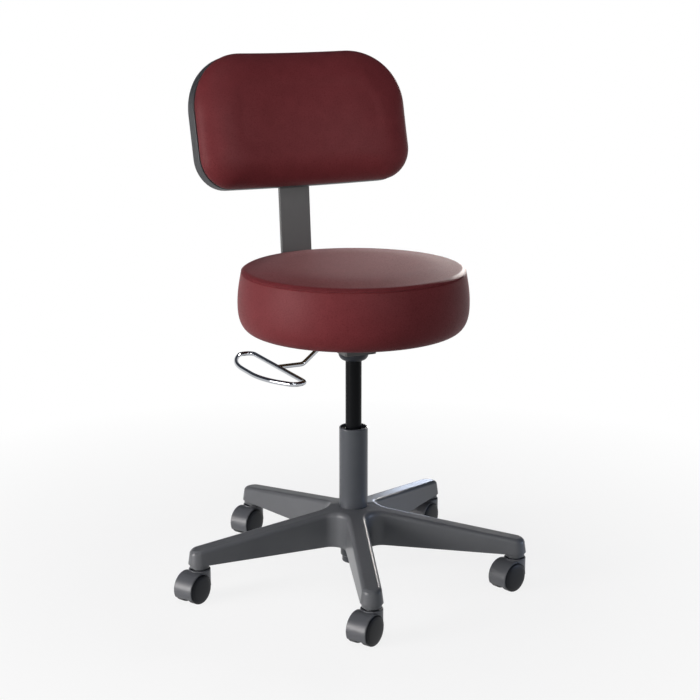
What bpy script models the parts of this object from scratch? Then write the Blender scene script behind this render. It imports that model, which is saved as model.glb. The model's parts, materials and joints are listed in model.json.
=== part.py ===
"""Exam stool: a moulded five-star base on hooded twin-wheel casters, a gas-lift column with a wire
release lever, a round upholstered seat and a padded back support on a bent flat bar.

Lengths are in metres and +Z is up. The sitter faces -Y and the back support stands at +Y.
The origin lies on the floor, under the middle of the object's bounding box.
"""

import math

import bmesh
import bpy
from mathutils import Matrix, Vector

# Fits: gap between pieces that touch, radial gap round what turns, overshoot of a cutter past a wall
CLEARANCE = 0.0003
TURNING_GAP = 0.0004
OVERSHOOT = 0.01
WELD_DISTANCE = 0.000001
CREASE_ANGLE = math.radians(35.0)

# Facets round the turned pieces and along their rounded edges
ROUND_STEPS = 24
CASTER_STEPS = 16
SMALL_STEPS = 12
HOLE_STEPS = 10
SEAT_STEPS = 48
EDGE_STEPS = 3

# Caster wheels
WHEEL_DIAMETER = 0.0514
WHEEL_TREAD = 0.0165
WHEEL_EDGE = 0.0022
WHEEL_DOME = 0.0020
WHEEL_DOME_SHOULDER = math.radians(50.0)
AXLE_DIAMETER = 0.006
AXLE_IN_WHEEL = 0.010

# Caster hood, its swivel collar and stem
CASTER_TRAIL = 0.0198
CASTER_HEADINGS = tuple(math.radians(angle) for angle in (209.0, 197.0, 209.0, 209.0, 209.0))
CASTER_WEB = 0.009
HOOD_WIDTH = 0.0384
HOOD_GAP = 0.0009
HOOD_WALL = 0.0014
HOOD_EDGE = 0.0012
HOOD_NOSE_LIFT = 0.012
HOOD_HEEL_LIFT = 0.028
COLLAR_DIAMETER = 0.038
COLLAR_RISE = 0.0016
COLLAR_CUP_DEPTH = 0.002
COLLAR_CUP_WALL = 0.002
STEM_DIAMETER = 0.011
STEM_PIN_DIAMETER = 0.006
STEM_PIN_LENGTH = 0.016
STEM_FLANGE_DIAMETER = 0.024
STEM_FLANGE_HEIGHT = 0.0038
STEM_IN_ARM = 0.022
STEM_POINT = 0.0018

# Five-star base
ARM_COUNT = 5
ARM_TURN = math.radians(-110.6)
PIVOT_RADIUS = 0.292
ARM_WIDTH = 0.039
ARM_TIP_HEIGHT = 0.0245
ARM_DRAFT = 0.0025
ARM_EDGE_RADIUS = 0.0080
HUB_HEIGHT = 0.0650
HUB_FILLET = 0.026
TIP_BOSS_DIAMETER = 0.034
TIP_BOSS_DROP = 0.007
BASE_WALL = 0.0035
BASE_ROOF = 0.0045
RIB_COUNT = 3
RIB_THICKNESS = 0.003
TIP_ARC_STEPS = 8
FILLET_STEPS = 5
ROOT_STEPS = 4

# Column tube
TUBE_DIAMETER = 0.051
TUBE_WALL = 0.002
TUBE_EXPOSED = 0.147
TUBE_RIM = 0.0025
TUBE_TAPER = math.radians(1.43)
TUBE_BELOW_BASE = 0.040
TUBE_FOOT_DIAMETER = 0.041
TUBE_FOOT_HEIGHT = 0.011
TUBE_FLOOR = 0.003

# Gas lift inside the column: its travel up and down from rest, and the gap left under the lowered seat
LIFT_UP = 0.012
LIFT_DOWN = 0.108
LOWERED_GAP = 0.014
GUIDE_LENGTH = 0.080
GUIDE_RECESS = 0.0015
CYLINDER_DIAMETER = 0.0285
CYLINDER_BORE = 0.022
CYLINDER_IN_TUBE = 0.115
CYLINDER_IN_SOCKET = 0.031
CYLINDER_GLAND = 0.018
VALVE_BLOCK = 0.034
PISTON_ROD_DIAMETER = 0.010
PISTON_HEIGHT = 0.008
ROD_NECK_DIAMETER = 0.0072
ROD_TAIL = 0.0035
BEARING_DIAMETER = 0.025
BEARING_HEIGHT = 0.008
BEARING_GROOVE = 0.0015
CLIP_DIAMETER = 0.016
CLIP_THICKNESS = 0.0012
CLIP_MOUTH = math.radians(70.0)
CLIP_GRIP = 0.0008
BUTTON_DIAMETER = 0.008
BUTTON_HEIGHT = 0.0047
BUTTON_CROWN = 0.0010
BUTTON_IN_VALVE = 0.0065
BUTTON_TRAVEL = 0.0035

# Socket under the seat
SOCKET_BOWL_DIAMETER = 0.054
SOCKET_BOWL_HEIGHT = 0.014
SOCKET_LIP = 0.0012
SOCKET_NECK_DIAMETER = 0.036
SOCKET_NECK_RISE = 0.014
BOWL_STEPS = 4

# Back bar: flat steel, one end under the seat and the other behind the back support
BAR_WIDTH = 0.060
BAR_THICKNESS = 0.008
BAR_CORNER = 0.004
BAR_EDGE = 0.001
BAR_FRONT = 0.031
BAR_BACK = 0.2413
BAR_LEAN = math.radians(4.4)
BAR_BEND_RADIUS = 0.045
BAR_UPPER_RADIUS = 0.120
BAR_ON_SHELL = 0.085
BEND_STEPS = 5

# Seat channel: pressed hat section between the bar and the seat board
CHANNEL_WIDTH = 0.058
CHANNEL_WALL = 0.0025
CHANNEL_HEIGHT = 0.0349
CHANNEL_FRONT = 0.031
CHANNEL_REAR = 0.110
CHANNEL_FLANGE = 0.030
CHANNEL_BEND = 0.0012

# Bolts: a hexagon head is drawn through its corners and the middles of its flats
HEXAGON_STEPS = 12
BOLT_DIAMETER = 0.006
BOLT_HEAD_WIDTH = 0.010
BOLT_HEAD_HEIGHT = 0.004
CHANNEL_BOLT_INSET = 0.020
BAR_BOLT_FIRST = 0.050
BAR_BOLT_SPACING = 0.035
BAR_BOLT_TAIL = 0.006
BACK_BOLT_SPACING = 0.060

# Release lever: bright wire with a long D-shaped grip
WIRE_DIAMETER = 0.006
WIRE_BEND = 0.014
LEVER_INNER_END = 0.012
LEVER_KNEE = 0.0536
LEVER_ELBOW = 0.098
LEVER_DROP = 0.036
GRIP_BAR = 0.144
GRIP_WELD = 0.0007
GRIP_LENGTH = 0.232
GRIP_END = 0.024
GRIP_BOW = 0.035
GRIP_ARC_STEPS = 10
LEVER_TILT = math.radians(6.0)
BUSH_WALL = 0.0028
BUSH_FLANGE = 0.002
BUSH_FLANGE_HEIGHT = 0.0015

# Seat
SEAT_DIAMETER = 0.406
SEAT_THICKNESS = 0.112
SEAT_WAIST = 0.0485
SEAT_UNDERCUT = 0.032
SEAT_ROUNDNESS = 2.5
SEAT_TOP_TUCK = 0.0078
SEAM_DROP = 0.0075
SEAM_DEPTH = 0.0022
RIM_ROLL = 0.006
CROWN = 0.0015
FLAT_TOP_DIAMETER = 0.300
BOARD_DIAMETER = 0.346
BOARD_THICKNESS = 0.012
HEM_WIDTH = 0.018
HEM_THICKNESS = 0.0014
UNDER_STEPS = 6
BARREL_STEPS = 3
RIM_STEPS = 2

# Back support
BACK_WIDTH = 0.424
BACK_HEIGHT = 0.2420
BACK_ABOVE_SEAT = 0.2270
BACK_BEHIND = 0.2472
BACK_RECLINE = math.radians(14.8)
BACK_CURVE_RADIUS = 0.98
BACK_TOP_CORNER = 0.105
BACK_BOTTOM_CORNER = 0.058
SHELL_LIP = 0.0166
SHELL_DOME = 0.018
SHELL_WALL = 0.003
SHELL_SHOULDER = 0.055
SHELL_BOSS_DIAMETER = 0.018
BACK_BOARD_REAR = 0.004
BACK_BOARD_THICKNESS = 0.008
BACK_BOARD_CORE = 0.100
PAD_RISE = 0.047
PAD_EDGE = 0.048
PAD_CROWN = 0.003
PAD_OVERHANG = 0.0018
PAD_STEPS = 6
CORNER_STEPS = 6
EDGE_SPANS = 6
SIDE_SPANS = 2

# Heights above the floor, each built on the one below
AXLE_Z = WHEEL_DIAMETER / 2
POCKET_RADIUS = WHEEL_DIAMETER / 2 + HOOD_GAP
HOOD_RADIUS = POCKET_RADIUS + HOOD_WALL
COLLAR_Z = AXLE_Z + HOOD_RADIUS + COLLAR_RISE
CUP_Z = COLLAR_Z - COLLAR_CUP_DEPTH
FLANGE_Z = CUP_Z + CLEARANCE
STEM_Z = CUP_Z - STEM_PIN_LENGTH
BOSS_Z = FLANGE_Z + STEM_FLANGE_HEIGHT + CLEARANCE
BASE_Z = BOSS_Z + TIP_BOSS_DROP
HUB_Z = BASE_Z + HUB_HEIGHT
TUBE_TOP_Z = HUB_Z + TUBE_EXPOSED
TUBE_BOTTOM_Z = BASE_Z - TUBE_BELOW_BASE
TUBE_FOOT_Z = TUBE_BOTTOM_Z + TUBE_FOOT_HEIGHT
BEARING_Z = TUBE_BOTTOM_Z + TUBE_FLOOR + CLEARANCE
SHOULDER_Z = BEARING_Z + BEARING_HEIGHT + CLEARANCE
SOCKET_Z = TUBE_TOP_Z + LOWERED_GAP + LIFT_DOWN
CYLINDER_BOTTOM_Z = TUBE_TOP_Z - CYLINDER_IN_TUBE
CYLINDER_TOP_Z = SOCKET_Z + CYLINDER_IN_SOCKET
PISTON_Z = CYLINDER_BOTTOM_Z + CYLINDER_GLAND + LIFT_UP + TURNING_GAP
BUTTON_Z = CYLINDER_TOP_Z + BUTTON_HEIGHT
LEVER_Z = BUTTON_Z + CLEARANCE + WIRE_DIAMETER / 2
BAR_Z = SOCKET_Z + SOCKET_BOWL_HEIGHT + CLEARANCE
CHANNEL_Z = BAR_Z + BAR_THICKNESS + CLEARANCE
FLANGE_TOP_Z = CHANNEL_Z + CHANNEL_HEIGHT
BOARD_Z = FLANGE_TOP_Z + CLEARANCE
SEAT_BOTTOM_Z = BOARD_Z - CLEARANCE - HEM_THICKNESS
SEAT_TOP_Z = SEAT_BOTTOM_Z + SEAT_THICKNESS
BACK_Z = SEAT_TOP_Z + BACK_ABOVE_SEAT

# Places along X and Y that several pieces share
PIVOT_X = -(CHANNEL_WIDTH - CHANNEL_WALL) / 2
CHANNEL_BOLT_X = (CHANNEL_WIDTH + CHANNEL_FLANGE) / 2
CHANNEL_BOLT_Y = (-CHANNEL_FRONT + CHANNEL_BOLT_INSET, CHANNEL_REAR - CHANNEL_BOLT_INSET)
BAR_BOLT_Y = (BAR_BOLT_FIRST, BAR_BOLT_FIRST + BAR_BOLT_SPACING)
BACK_BOLT_H = (-BACK_BOLT_SPACING / 2, BACK_BOLT_SPACING / 2)
BACK_BOARD_FRONT = BACK_BOARD_REAR + BACK_BOARD_THICKNESS
BAR_FACE_N = -SHELL_DOME - CLEARANCE


def material(name, colour, roughness, metallic=0.0):
    """A Principled BSDF of the given linear colour."""
    made = bpy.data.materials.new(name)
    made.use_nodes = True
    shader = made.node_tree.nodes["Principled BSDF"]
    shader.inputs["Base Color"].default_value = (*colour, 1.0)
    shader.inputs["Roughness"].default_value = roughness
    shader.inputs["Metallic"].default_value = metallic
    return made


def shaded(mesh):
    """Smooth shading, with sharp edges kept crisp."""
    mesh.shade_smooth()
    mesh.set_sharp_from_angle(angle=CREASE_ANGLE)


def solid(bm):
    """An unnamed object from a closed bmesh, with its faces pointing out."""
    bmesh.ops.recalc_face_normals(bm, faces=bm.faces)
    if bm.calc_volume(signed=True) < 0:
        bmesh.ops.reverse_faces(bm, faces=bm.faces)
    mesh = bpy.data.meshes.new("solid")
    bm.to_mesh(mesh)
    bm.free()
    body = bpy.data.objects.new("solid", mesh)
    bpy.context.scene.collection.objects.link(body)
    return body


def combined(body, tool, operation):
    """The body after a Boolean with the tool, which is used up."""
    step = body.modifiers.new("step", "BOOLEAN")
    step.operation = operation
    step.solver = "EXACT"
    step.object = tool
    graph = bpy.context.evaluated_depsgraph_get()
    body.data = bpy.data.meshes.new_from_object(body.evaluated_get(graph))
    body.modifiers.clear()
    bpy.data.objects.remove(tool)
    return body


def cut(body, *tools):
    for tool in tools:
        combined(body, tool, "DIFFERENCE")
    return body


def joined(body, *tools):
    for tool in tools:
        combined(body, tool, "UNION")
    return body


def moved(body, matrix):
    """The body with the matrix worked into its mesh."""
    body.data.transform(matrix)
    return body


def group(bodies):
    """Separate bodies in one object, to cut or join with in one go."""
    bm = bmesh.new()
    for body in bodies:
        bm.from_mesh(body.data)
        bpy.data.objects.remove(body)
    return solid(bm)


def turned(profile, steps=ROUND_STEPS, ring=False):
    """A turned solid about Z from (radius, height) points: from axis to axis, or a closed ring section."""
    bm = bmesh.new()
    points = [bm.verts.new((radius, 0.0, height)) for radius, height in profile]
    edges = [bm.edges.new(pair) for pair in zip(points, points[1:])]
    if ring:
        edges.append(bm.edges.new((points[-1], points[0])))
    bmesh.ops.spin(
        bm,
        geom=points + edges,
        cent=(0, 0, 0),
        axis=(0, 0, 1),
        angle=math.tau,
        steps=steps,
        use_merge=True,
    )
    bmesh.ops.remove_doubles(bm, verts=bm.verts, dist=WELD_DISTANCE)
    return solid(bm)


def cylinder(radius, low, high, steps=ROUND_STEPS):
    return turned([(0, low), (radius, low), (radius, high), (0, high)], steps)


def quarter(steps):
    """Angles from 0 to a right angle in equal steps."""
    return [math.pi / 2 * k / steps for k in range(steps + 1)]


def lofted(rings, rungs=False):
    """A closed skin over rings of equal point count, capped at both ends with one face or with rungs."""
    bm = bmesh.new()
    loops = [[bm.verts.new(point) for point in ring] for ring in rings]
    for lower, upper in zip(loops, loops[1:]):
        skin(bm, lower, upper)
    for loop in (loops[0], loops[-1]):
        if rungs:
            ladder(bm, loop)
        else:
            bm.faces.new(loop)
    if rungs:
        bmesh.ops.triangulate(bm, faces=bm.faces, quad_method="SHORT_EDGE")
    return solid(bm)


def ladder(bm, loop):
    """Closes a long bent loop that starts in the middle of one end, with rungs from side to side."""
    half = len(loop) // 2
    bm.faces.new(loop[-2:] + loop[:3])
    for i in range(2, half - 2):
        bm.faces.new((loop[i], loop[i + 1], loop[-i - 1], loop[-i]))
    bm.faces.new(loop[half - 2 : half + 3])


def skin(bm, lower, upper):
    """Quads between two loops of equal point count."""
    for i in range(len(lower)):
        j = (i + 1) % len(lower)
        bm.faces.new((lower[i], lower[j], upper[j], upper[i]))


def filleted(points, radius, steps=BEND_STEPS):
    """A path through the points with each inner corner rounded by an arc of the given radius."""
    points = [Vector(point) for point in points]
    path = [points[0]]
    for before, corner, after in zip(points, points[1:], points[2:]):
        inward = (before - corner).normalized()
        outward = (after - corner).normalized()
        half = inward.angle(outward) / 2
        reach = radius / math.tan(half)
        centre = corner + (inward + outward).normalized() * (radius / math.sin(half))
        start, end = corner + inward * reach, corner + outward * reach
        sweep = math.pi - 2 * half
        for k in range(steps + 1):
            turn = sweep * k / steps
            spokes = (start - centre) * math.sin(sweep - turn) + (end - centre) * math.sin(turn)
            path.append(centre + spokes / math.sin(sweep))
    return path + [points[-1]]


def wire(path, loop=False):
    """A round wire along the path."""
    curve = bpy.data.curves.new("wire", "CURVE")
    curve.dimensions = "3D"
    curve.bevel_depth = WIRE_DIAMETER / 2
    curve.bevel_resolution = 2
    curve.use_fill_caps = True
    spline = curve.splines.new("POLY")
    spline.points.add(len(path) - 1)
    for point, place in zip(spline.points, path):
        point.co = (*place, 1.0)
    spline.use_cyclic_u = loop
    rod = bpy.data.objects.new("wire", curve)
    bpy.context.scene.collection.objects.link(rod)
    graph = bpy.context.evaluated_depsgraph_get()
    bm = bmesh.new()
    bm.from_mesh(rod.evaluated_get(graph).to_mesh())
    bmesh.ops.remove_doubles(bm, verts=bm.verts, dist=WELD_DISTANCE)
    bpy.data.objects.remove(rod)
    return solid(bm)


def hexagon_bolt(length):
    """A hexagon-head bolt: the underside of its head at z = 0, its shank up to the given length."""
    flat = BOLT_HEAD_WIDTH / 2
    angles = [math.tau * k / HEXAGON_STEPS for k in range(HEXAGON_STEPS)]
    head = [flat if k % 2 == 0 else flat / math.cos(angles[1]) for k in range(HEXAGON_STEPS)]
    shank = [BOLT_DIAMETER / 2] * HEXAGON_STEPS
    levels = ((head, -BOLT_HEAD_HEIGHT), (head, 0.0), (shank, 0.0), (shank, length))
    return lofted(
        [(radius * math.cos(a), radius * math.sin(a), z) for radius, a in zip(radii, angles)]
        for radii, z in levels
    )


def bolt_hole(low, high):
    return cylinder(BOLT_DIAMETER / 2 + CLEARANCE, low, high, HOLE_STEPS)


def caster_wheel():
    """One wheel, turned about Z with its domed face up and the caster's middle plane at z = 0."""
    radius = WHEEL_DIAMETER / 2
    inner = CASTER_WEB / 2 + TURNING_GAP
    outer = inner + WHEEL_TREAD
    bore = AXLE_DIAMETER / 2 + TURNING_GAP
    bore_end = inner + AXLE_IN_WHEEL + CLEARANCE
    face = radius - WHEEL_EDGE
    shoulder = (face * math.cos(WHEEL_DOME_SHOULDER), outer + WHEEL_DOME * math.sin(WHEEL_DOME_SHOULDER))
    return turned(
        [
            (0, bore_end),
            (bore, bore_end),
            (bore, inner),
            (face, inner),
            (radius, inner + WHEEL_EDGE),
            (radius, outer - WHEEL_EDGE),
            (face, outer),
            shoulder,
            (0, outer + WHEEL_DOME),
        ],
        CASTER_STEPS,
    )


def caster_hood():
    """The moulded hood: a drum over both wheels, a web between them and a cupped swivel collar at x = 0."""
    half = HOOD_WIDTH / 2
    collar = COLLAR_DIAMETER / 2
    drum = turned(
        [
            (0, -half),
            (HOOD_RADIUS - HOOD_EDGE, -half),
            (HOOD_RADIUS, -half + HOOD_EDGE),
            (HOOD_RADIUS, half - HOOD_EDGE),
            (HOOD_RADIUS - HOOD_EDGE, half),
            (0, half),
        ],
        CASTER_STEPS,
    )
    on_axle = Matrix.Translation((CASTER_TRAIL, 0, AXLE_Z)) @ Matrix.Rotation(math.pi / 2, 4, "X")
    moved(drum, on_axle)
    neck = turned(
        [
            (0, AXLE_Z),
            (collar, AXLE_Z),
            (collar, COLLAR_Z - HOOD_EDGE),
            (collar - HOOD_EDGE, COLLAR_Z),
            (0, COLLAR_Z),
        ],
        CASTER_STEPS,
    )
    pocket_end = half + OVERSHOOT
    between_facets = on_axle @ Matrix.Rotation(math.pi / CASTER_STEPS, 4, "Z")
    pockets = group(
        moved(cylinder(POCKET_RADIUS, low, high, CASTER_STEPS), between_facets)
        for low, high in ((CASTER_WEB / 2, pocket_end), (-pocket_end, -CASTER_WEB / 2))
    )
    axle_hole = moved(cylinder(AXLE_DIAMETER / 2 + CLEARANCE, -half, half, SMALL_STEPS), on_axle)
    bore, cup = STEM_PIN_DIAMETER / 2 + TURNING_GAP, collar - COLLAR_CUP_WALL
    bore_end = STEM_Z - CLEARANCE
    socket = turned(
        [
            (0, bore_end),
            (bore, bore_end),
            (bore, CUP_Z),
            (cup, CUP_Z),
            (cup, COLLAR_Z + OVERSHOOT),
            (0, COLLAR_Z + OVERSHOOT),
        ],
        CASTER_STEPS,
    )
    nose, heel = CASTER_TRAIL + HOOD_RADIUS, -collar
    slope = (HOOD_HEEL_LIFT - HOOD_NOSE_LIFT) / (heel - nose)
    ends = [(x, HOOD_NOSE_LIFT + slope * (x - nose)) for x in (heel - OVERSHOOT, nose + OVERSHOOT)]
    floor = -HOOD_RADIUS
    outline = [(ends[0][0], floor), (ends[1][0], floor), ends[1], ends[0]]
    underside = lofted([(x, y, z) for x, z in outline] for y in (-pocket_end, pocket_end))
    return cut(joined(drum, neck), pockets, axle_hole, socket, underside)


def caster_stem():
    """The steel swivel stem: a pin in the collar, a thrust flange and a pin in the arm's socket."""
    pin, shank, flange = STEM_PIN_DIAMETER / 2, STEM_DIAMETER / 2, STEM_FLANGE_DIAMETER / 2
    top = BOSS_Z + STEM_IN_ARM
    return turned(
        [
            (0, STEM_Z),
            (pin, STEM_Z),
            (pin, FLANGE_Z),
            (flange, FLANGE_Z),
            (flange, FLANGE_Z + STEM_FLANGE_HEIGHT),
            (shank, FLANGE_Z + STEM_FLANGE_HEIGHT),
            (shank, top - STEM_POINT),
            (shank - STEM_POINT, top),
            (0, top),
        ],
        SMALL_STEPS,
    )


def caster_axle():
    half = CASTER_WEB / 2 + TURNING_GAP + AXLE_IN_WHEEL
    return cylinder(AXLE_DIAMETER / 2, -half, half, SMALL_STEPS)


def arm_angles():
    return [ARM_TURN + math.tau * k / ARM_COUNT for k in range(ARM_COUNT)]


def turned_by(angle, x, y):
    return x * math.cos(angle) - y * math.sin(angle), x * math.sin(angle) + y * math.cos(angle)


def base_top(along):
    """Height of an arm's top at a distance along the arm."""
    reach = PIVOT_RADIUS + ARM_WIDTH / 2
    root = tube_radius(HUB_Z)
    return HUB_Z - (HUB_HEIGHT - ARM_TIP_HEIGHT) * (along - root) / (reach - root)


def tube_radius(height):
    """Outer radius of the column tube, which tapers inside the base hub."""
    return TUBE_DIAMETER / 2 - max(HUB_Z - height, 0.0) * math.tan(TUBE_TAPER)


def star_ring(bm, inset, height):
    """One loop round the star, drawn in by the inset, as (tip arc, fillet to the next arm) for each arm.

    The height is a function of the distance along the nearest arm.
    """
    half = math.pi / ARM_COUNT
    width = ARM_WIDTH / 2
    centre = ((width + HUB_FILLET) / math.tan(half), width + HUB_FILLET)
    sweep = math.pi - 2 * half
    tip = [math.pi * (k / TIP_ARC_STEPS - 0.5) for k in range(TIP_ARC_STEPS + 1)]
    bend = [-math.pi / 2 - sweep * k / FILLET_STEPS for k in range(FILLET_STEPS + 1)]
    arms = []
    for angle in arm_angles():
        radius, hollow = width - inset, HUB_FILLET + inset
        arc = [(PIVOT_RADIUS + radius * math.cos(t), radius * math.sin(t)) for t in tip]
        fillet = [(centre[0] + hollow * math.cos(t), centre[1] + hollow * math.sin(t)) for t in bend]
        arms.append(
            [
                [star_point(bm, *turned_by(angle, x, y), height) for x, y in stretch]
                for stretch in (arc, fillet)
            ]
        )
    return arms


def star_point(bm, x, y, height):
    along = max(x * math.cos(angle) + y * math.sin(angle) for angle in arm_angles())
    return bm.verts.new((x, y, height(along)))


def star_cap(bm, arms, radius, height):
    """Closes the star from one loop inwards to a round hole, and returns the hole's loop."""
    hub = []
    for k, (arc, fillet) in enumerate(arms):
        left, right = arms[k - 1][1][-1], fillet[0]
        root = [left.co.lerp(right.co, i / ROOT_STEPS) for i in range(1, ROOT_STEPS)]
        root = [bm.verts.new(point) for point in root]
        bm.faces.new([left, *arc, right, *reversed(root)])
        hub += [*root, *fillet]
    first = ROOT_STEPS / 2 - 1
    angles = [ARM_TURN + math.tau * (i - first) / len(hub) for i in range(len(hub))]
    hole = [bm.verts.new((radius * math.cos(angle), radius * math.sin(angle), height)) for angle in angles]
    skin(bm, hub, hole)
    return hole


def base_star():
    """The moulded base: five hollow, ribbed arms that taper from a tall hub to rounded tips."""

    def rounded(t):
        def height(along):
            return base_top(along) - ARM_EDGE_RADIUS * (1 - math.sin(t))

        return ARM_DRAFT + ARM_EDGE_RADIUS * (1 - math.cos(t)), height

    bm = bmesh.new()
    levels = [(0.0, lambda along: BASE_Z)]
    levels += [rounded(t) for t in quarter(EDGE_STEPS)]
    loops = [star_ring(bm, inset, height) for inset, height in levels]
    outlines = [[vert for arc, fillet in arms for vert in (*arc, *fillet)] for arms in loops]
    for lower, upper in zip(outlines, outlines[1:]):
        skin(bm, lower, upper)
    bottom = star_cap(bm, loops[0], tube_radius(BASE_Z) + CLEARANCE, BASE_Z)
    top = star_cap(bm, loops[-1], tube_radius(HUB_Z) + CLEARANCE, HUB_Z)
    skin(bm, bottom, top)
    star = solid(bm)

    boss_top = BASE_Z + BASE_ROOF
    bosses = group(on_each_arm(lambda: cylinder(TIP_BOSS_DIAMETER / 2, BOSS_Z, boss_top)))
    sockets = group(on_each_arm(stem_socket))
    cells = group(rib_cell(angle, k) for angle in arm_angles() for k in range(RIB_COUNT + 1))
    return cut(joined(star, bosses), cells, sockets)


def stem_socket():
    top = BOSS_Z + STEM_IN_ARM + CLEARANCE
    return cylinder(STEM_DIAMETER / 2 + CLEARANCE, BOSS_Z - OVERSHOOT, top, SMALL_STEPS)


def on_each_arm(make):
    """A copy of a solid at the caster pivot of each arm."""
    for angle in arm_angles():
        x, y = turned_by(angle, PIVOT_RADIUS, 0.0)
        yield moved(make(), Matrix.Translation((x, y, 0)))


def rib_cell(angle, number):
    """One open cell under an arm, between two cross ribs."""
    first = (ARM_WIDTH / 2 + HUB_FILLET) / math.tan(math.pi / ARM_COUNT)
    last = PIVOT_RADIUS - TIP_BOSS_DIAMETER / 2
    pitch = (last - first + RIB_THICKNESS) / (RIB_COUNT + 1)
    start = first + pitch * number
    end = start + pitch - RIB_THICKNESS
    wide = ARM_WIDTH / 2 - BASE_WALL
    narrow = wide - ARM_DRAFT - ARM_EDGE_RADIUS / 2
    rings = []
    for along in (start, end):
        roof = base_top(along) - BASE_ROOF
        corners = ((-wide, BASE_Z - OVERSHOOT), (wide, BASE_Z - OVERSHOOT), (wide, BASE_Z), (narrow, roof))
        corners += ((-narrow, roof), (-wide, BASE_Z))
        rings.append([(*turned_by(angle, along, side), z) for side, z in corners])
    return lofted(rings)


def column_tube():
    """The column tube: a rolled rim, a straight shank, a taper in the base hub and a stepped foot."""
    radius, foot, hole = TUBE_DIAMETER / 2, TUBE_FOOT_DIAMETER / 2, ROD_NECK_DIAMETER / 2 + TURNING_GAP
    waist = tube_radius(TUBE_FOOT_Z)
    rim = [
        (radius - TUBE_RIM * (1 - math.cos(t)), TUBE_TOP_Z - TUBE_RIM * (1 - math.sin(t)))
        for t in quarter(EDGE_STEPS)
    ]
    return turned(
        [
            (hole, TUBE_BOTTOM_Z),
            (foot - TUBE_WALL, TUBE_BOTTOM_Z),
            (foot, TUBE_BOTTOM_Z + TUBE_WALL),
            (foot, TUBE_FOOT_Z),
            (waist, TUBE_FOOT_Z + TUBE_WALL),
            (radius, HUB_Z),
            *rim,
            (radius - TUBE_RIM, TUBE_TOP_Z - TUBE_RIM),
            (radius - TUBE_WALL, TUBE_TOP_Z - TUBE_RIM),
            (radius - TUBE_WALL, HUB_Z),
            (waist - TUBE_WALL, TUBE_FOOT_Z + TUBE_WALL),
            (foot - TUBE_WALL, TUBE_FOOT_Z),
            (foot - TUBE_WALL, TUBE_BOTTOM_Z + TUBE_FLOOR),
            (hole, TUBE_BOTTOM_Z + TUBE_FLOOR),
        ],
        ring=True,
    )


def guide_bush():
    """The plastic sleeve that guides the gas cylinder in the top of the tube."""
    top = TUBE_TOP_Z - TUBE_RIM - GUIDE_RECESS
    bottom = top - GUIDE_LENGTH
    outer = TUBE_DIAMETER / 2 - TUBE_WALL - CLEARANCE
    inner = CYLINDER_DIAMETER / 2 + TURNING_GAP
    return turned([(inner, bottom), (outer, bottom), (outer, top), (inner, top)], ring=True)


def thrust_bearing():
    """Two washers and a ball cage as one stack, under the shoulder of the piston rod."""
    inner, outer = ROD_NECK_DIAMETER / 2 + TURNING_GAP, BEARING_DIAMETER / 2
    third = BEARING_HEIGHT / 3
    return turned(
        [
            (inner, BEARING_Z),
            (outer, BEARING_Z),
            (outer, BEARING_Z + third),
            (outer - BEARING_GROOVE, BEARING_Z + third),
            (outer - BEARING_GROOVE, BEARING_Z + 2 * third),
            (outer, BEARING_Z + 2 * third),
            (outer, BEARING_Z + 3 * third),
            (inner, BEARING_Z + 3 * third),
        ],
        SMALL_STEPS,
        ring=True,
    )


def clip_z():
    """Underside of the clip, which lies against the bottom of the tube."""
    return TUBE_BOTTOM_Z - CLEARANCE - CLIP_THICKNESS


def piston_rod():
    """The piston rod: a clip groove at its foot, a shoulder on the bearing and the piston in the cylinder."""
    neck, rod, piston = ROD_NECK_DIAMETER / 2, PISTON_ROD_DIAMETER / 2, CYLINDER_BORE / 2 - TURNING_GAP
    groove, low, high = neck - CLIP_GRIP, clip_z() - CLEARANCE, TUBE_BOTTOM_Z
    return turned(
        [
            (0, low - ROD_TAIL),
            (neck, low - ROD_TAIL),
            (neck, low),
            (groove, low),
            (groove, high),
            (neck, high),
            (neck, SHOULDER_Z),
            (rod, SHOULDER_Z),
            (rod, PISTON_Z),
            (piston, PISTON_Z),
            (piston, PISTON_Z + PISTON_HEIGHT),
            (0, PISTON_Z + PISTON_HEIGHT),
        ],
        SMALL_STEPS,
    )


def retaining_clip():
    """The spring clip in the rod's groove: a flat ring with an open mouth."""
    inner, outer = ROD_NECK_DIAMETER / 2 - CLIP_GRIP + CLEARANCE, CLIP_DIAMETER / 2
    sweep = math.tau - CLIP_MOUTH
    angles = [CLIP_MOUTH / 2 + sweep * k / SMALL_STEPS for k in range(SMALL_STEPS + 1)]
    outline = [(outer * math.cos(a), outer * math.sin(a)) for a in angles]
    outline += [(inner * math.cos(a), inner * math.sin(a)) for a in reversed(angles)]
    return lofted([(x, y, z) for x, y in outline] for z in (clip_z(), clip_z() + CLIP_THICKNESS))


def gas_cylinder():
    """The pressure tube: a gland round the rod, a bore for the piston, a tapered end and a valve hole."""
    radius, bore = CYLINDER_DIAMETER / 2, CYLINDER_BORE / 2
    gland = PISTON_ROD_DIAMETER / 2 + TURNING_GAP
    tip = radius - CYLINDER_IN_SOCKET * math.tan(TUBE_TAPER)
    valve = BUTTON_DIAMETER / 2 + TURNING_GAP
    valve_floor = CYLINDER_TOP_Z - BUTTON_IN_VALVE - BUTTON_TRAVEL
    bore_end = SOCKET_Z - VALVE_BLOCK
    return turned(
        [
            (0, bore_end),
            (bore, bore_end),
            (bore, CYLINDER_BOTTOM_Z + CYLINDER_GLAND),
            (gland, CYLINDER_BOTTOM_Z + CYLINDER_GLAND),
            (gland, CYLINDER_BOTTOM_Z),
            (radius, CYLINDER_BOTTOM_Z),
            (radius, SOCKET_Z),
            (tip, CYLINDER_TOP_Z),
            (valve, CYLINDER_TOP_Z),
            (valve, valve_floor),
            (0, valve_floor),
        ]
    )


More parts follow.
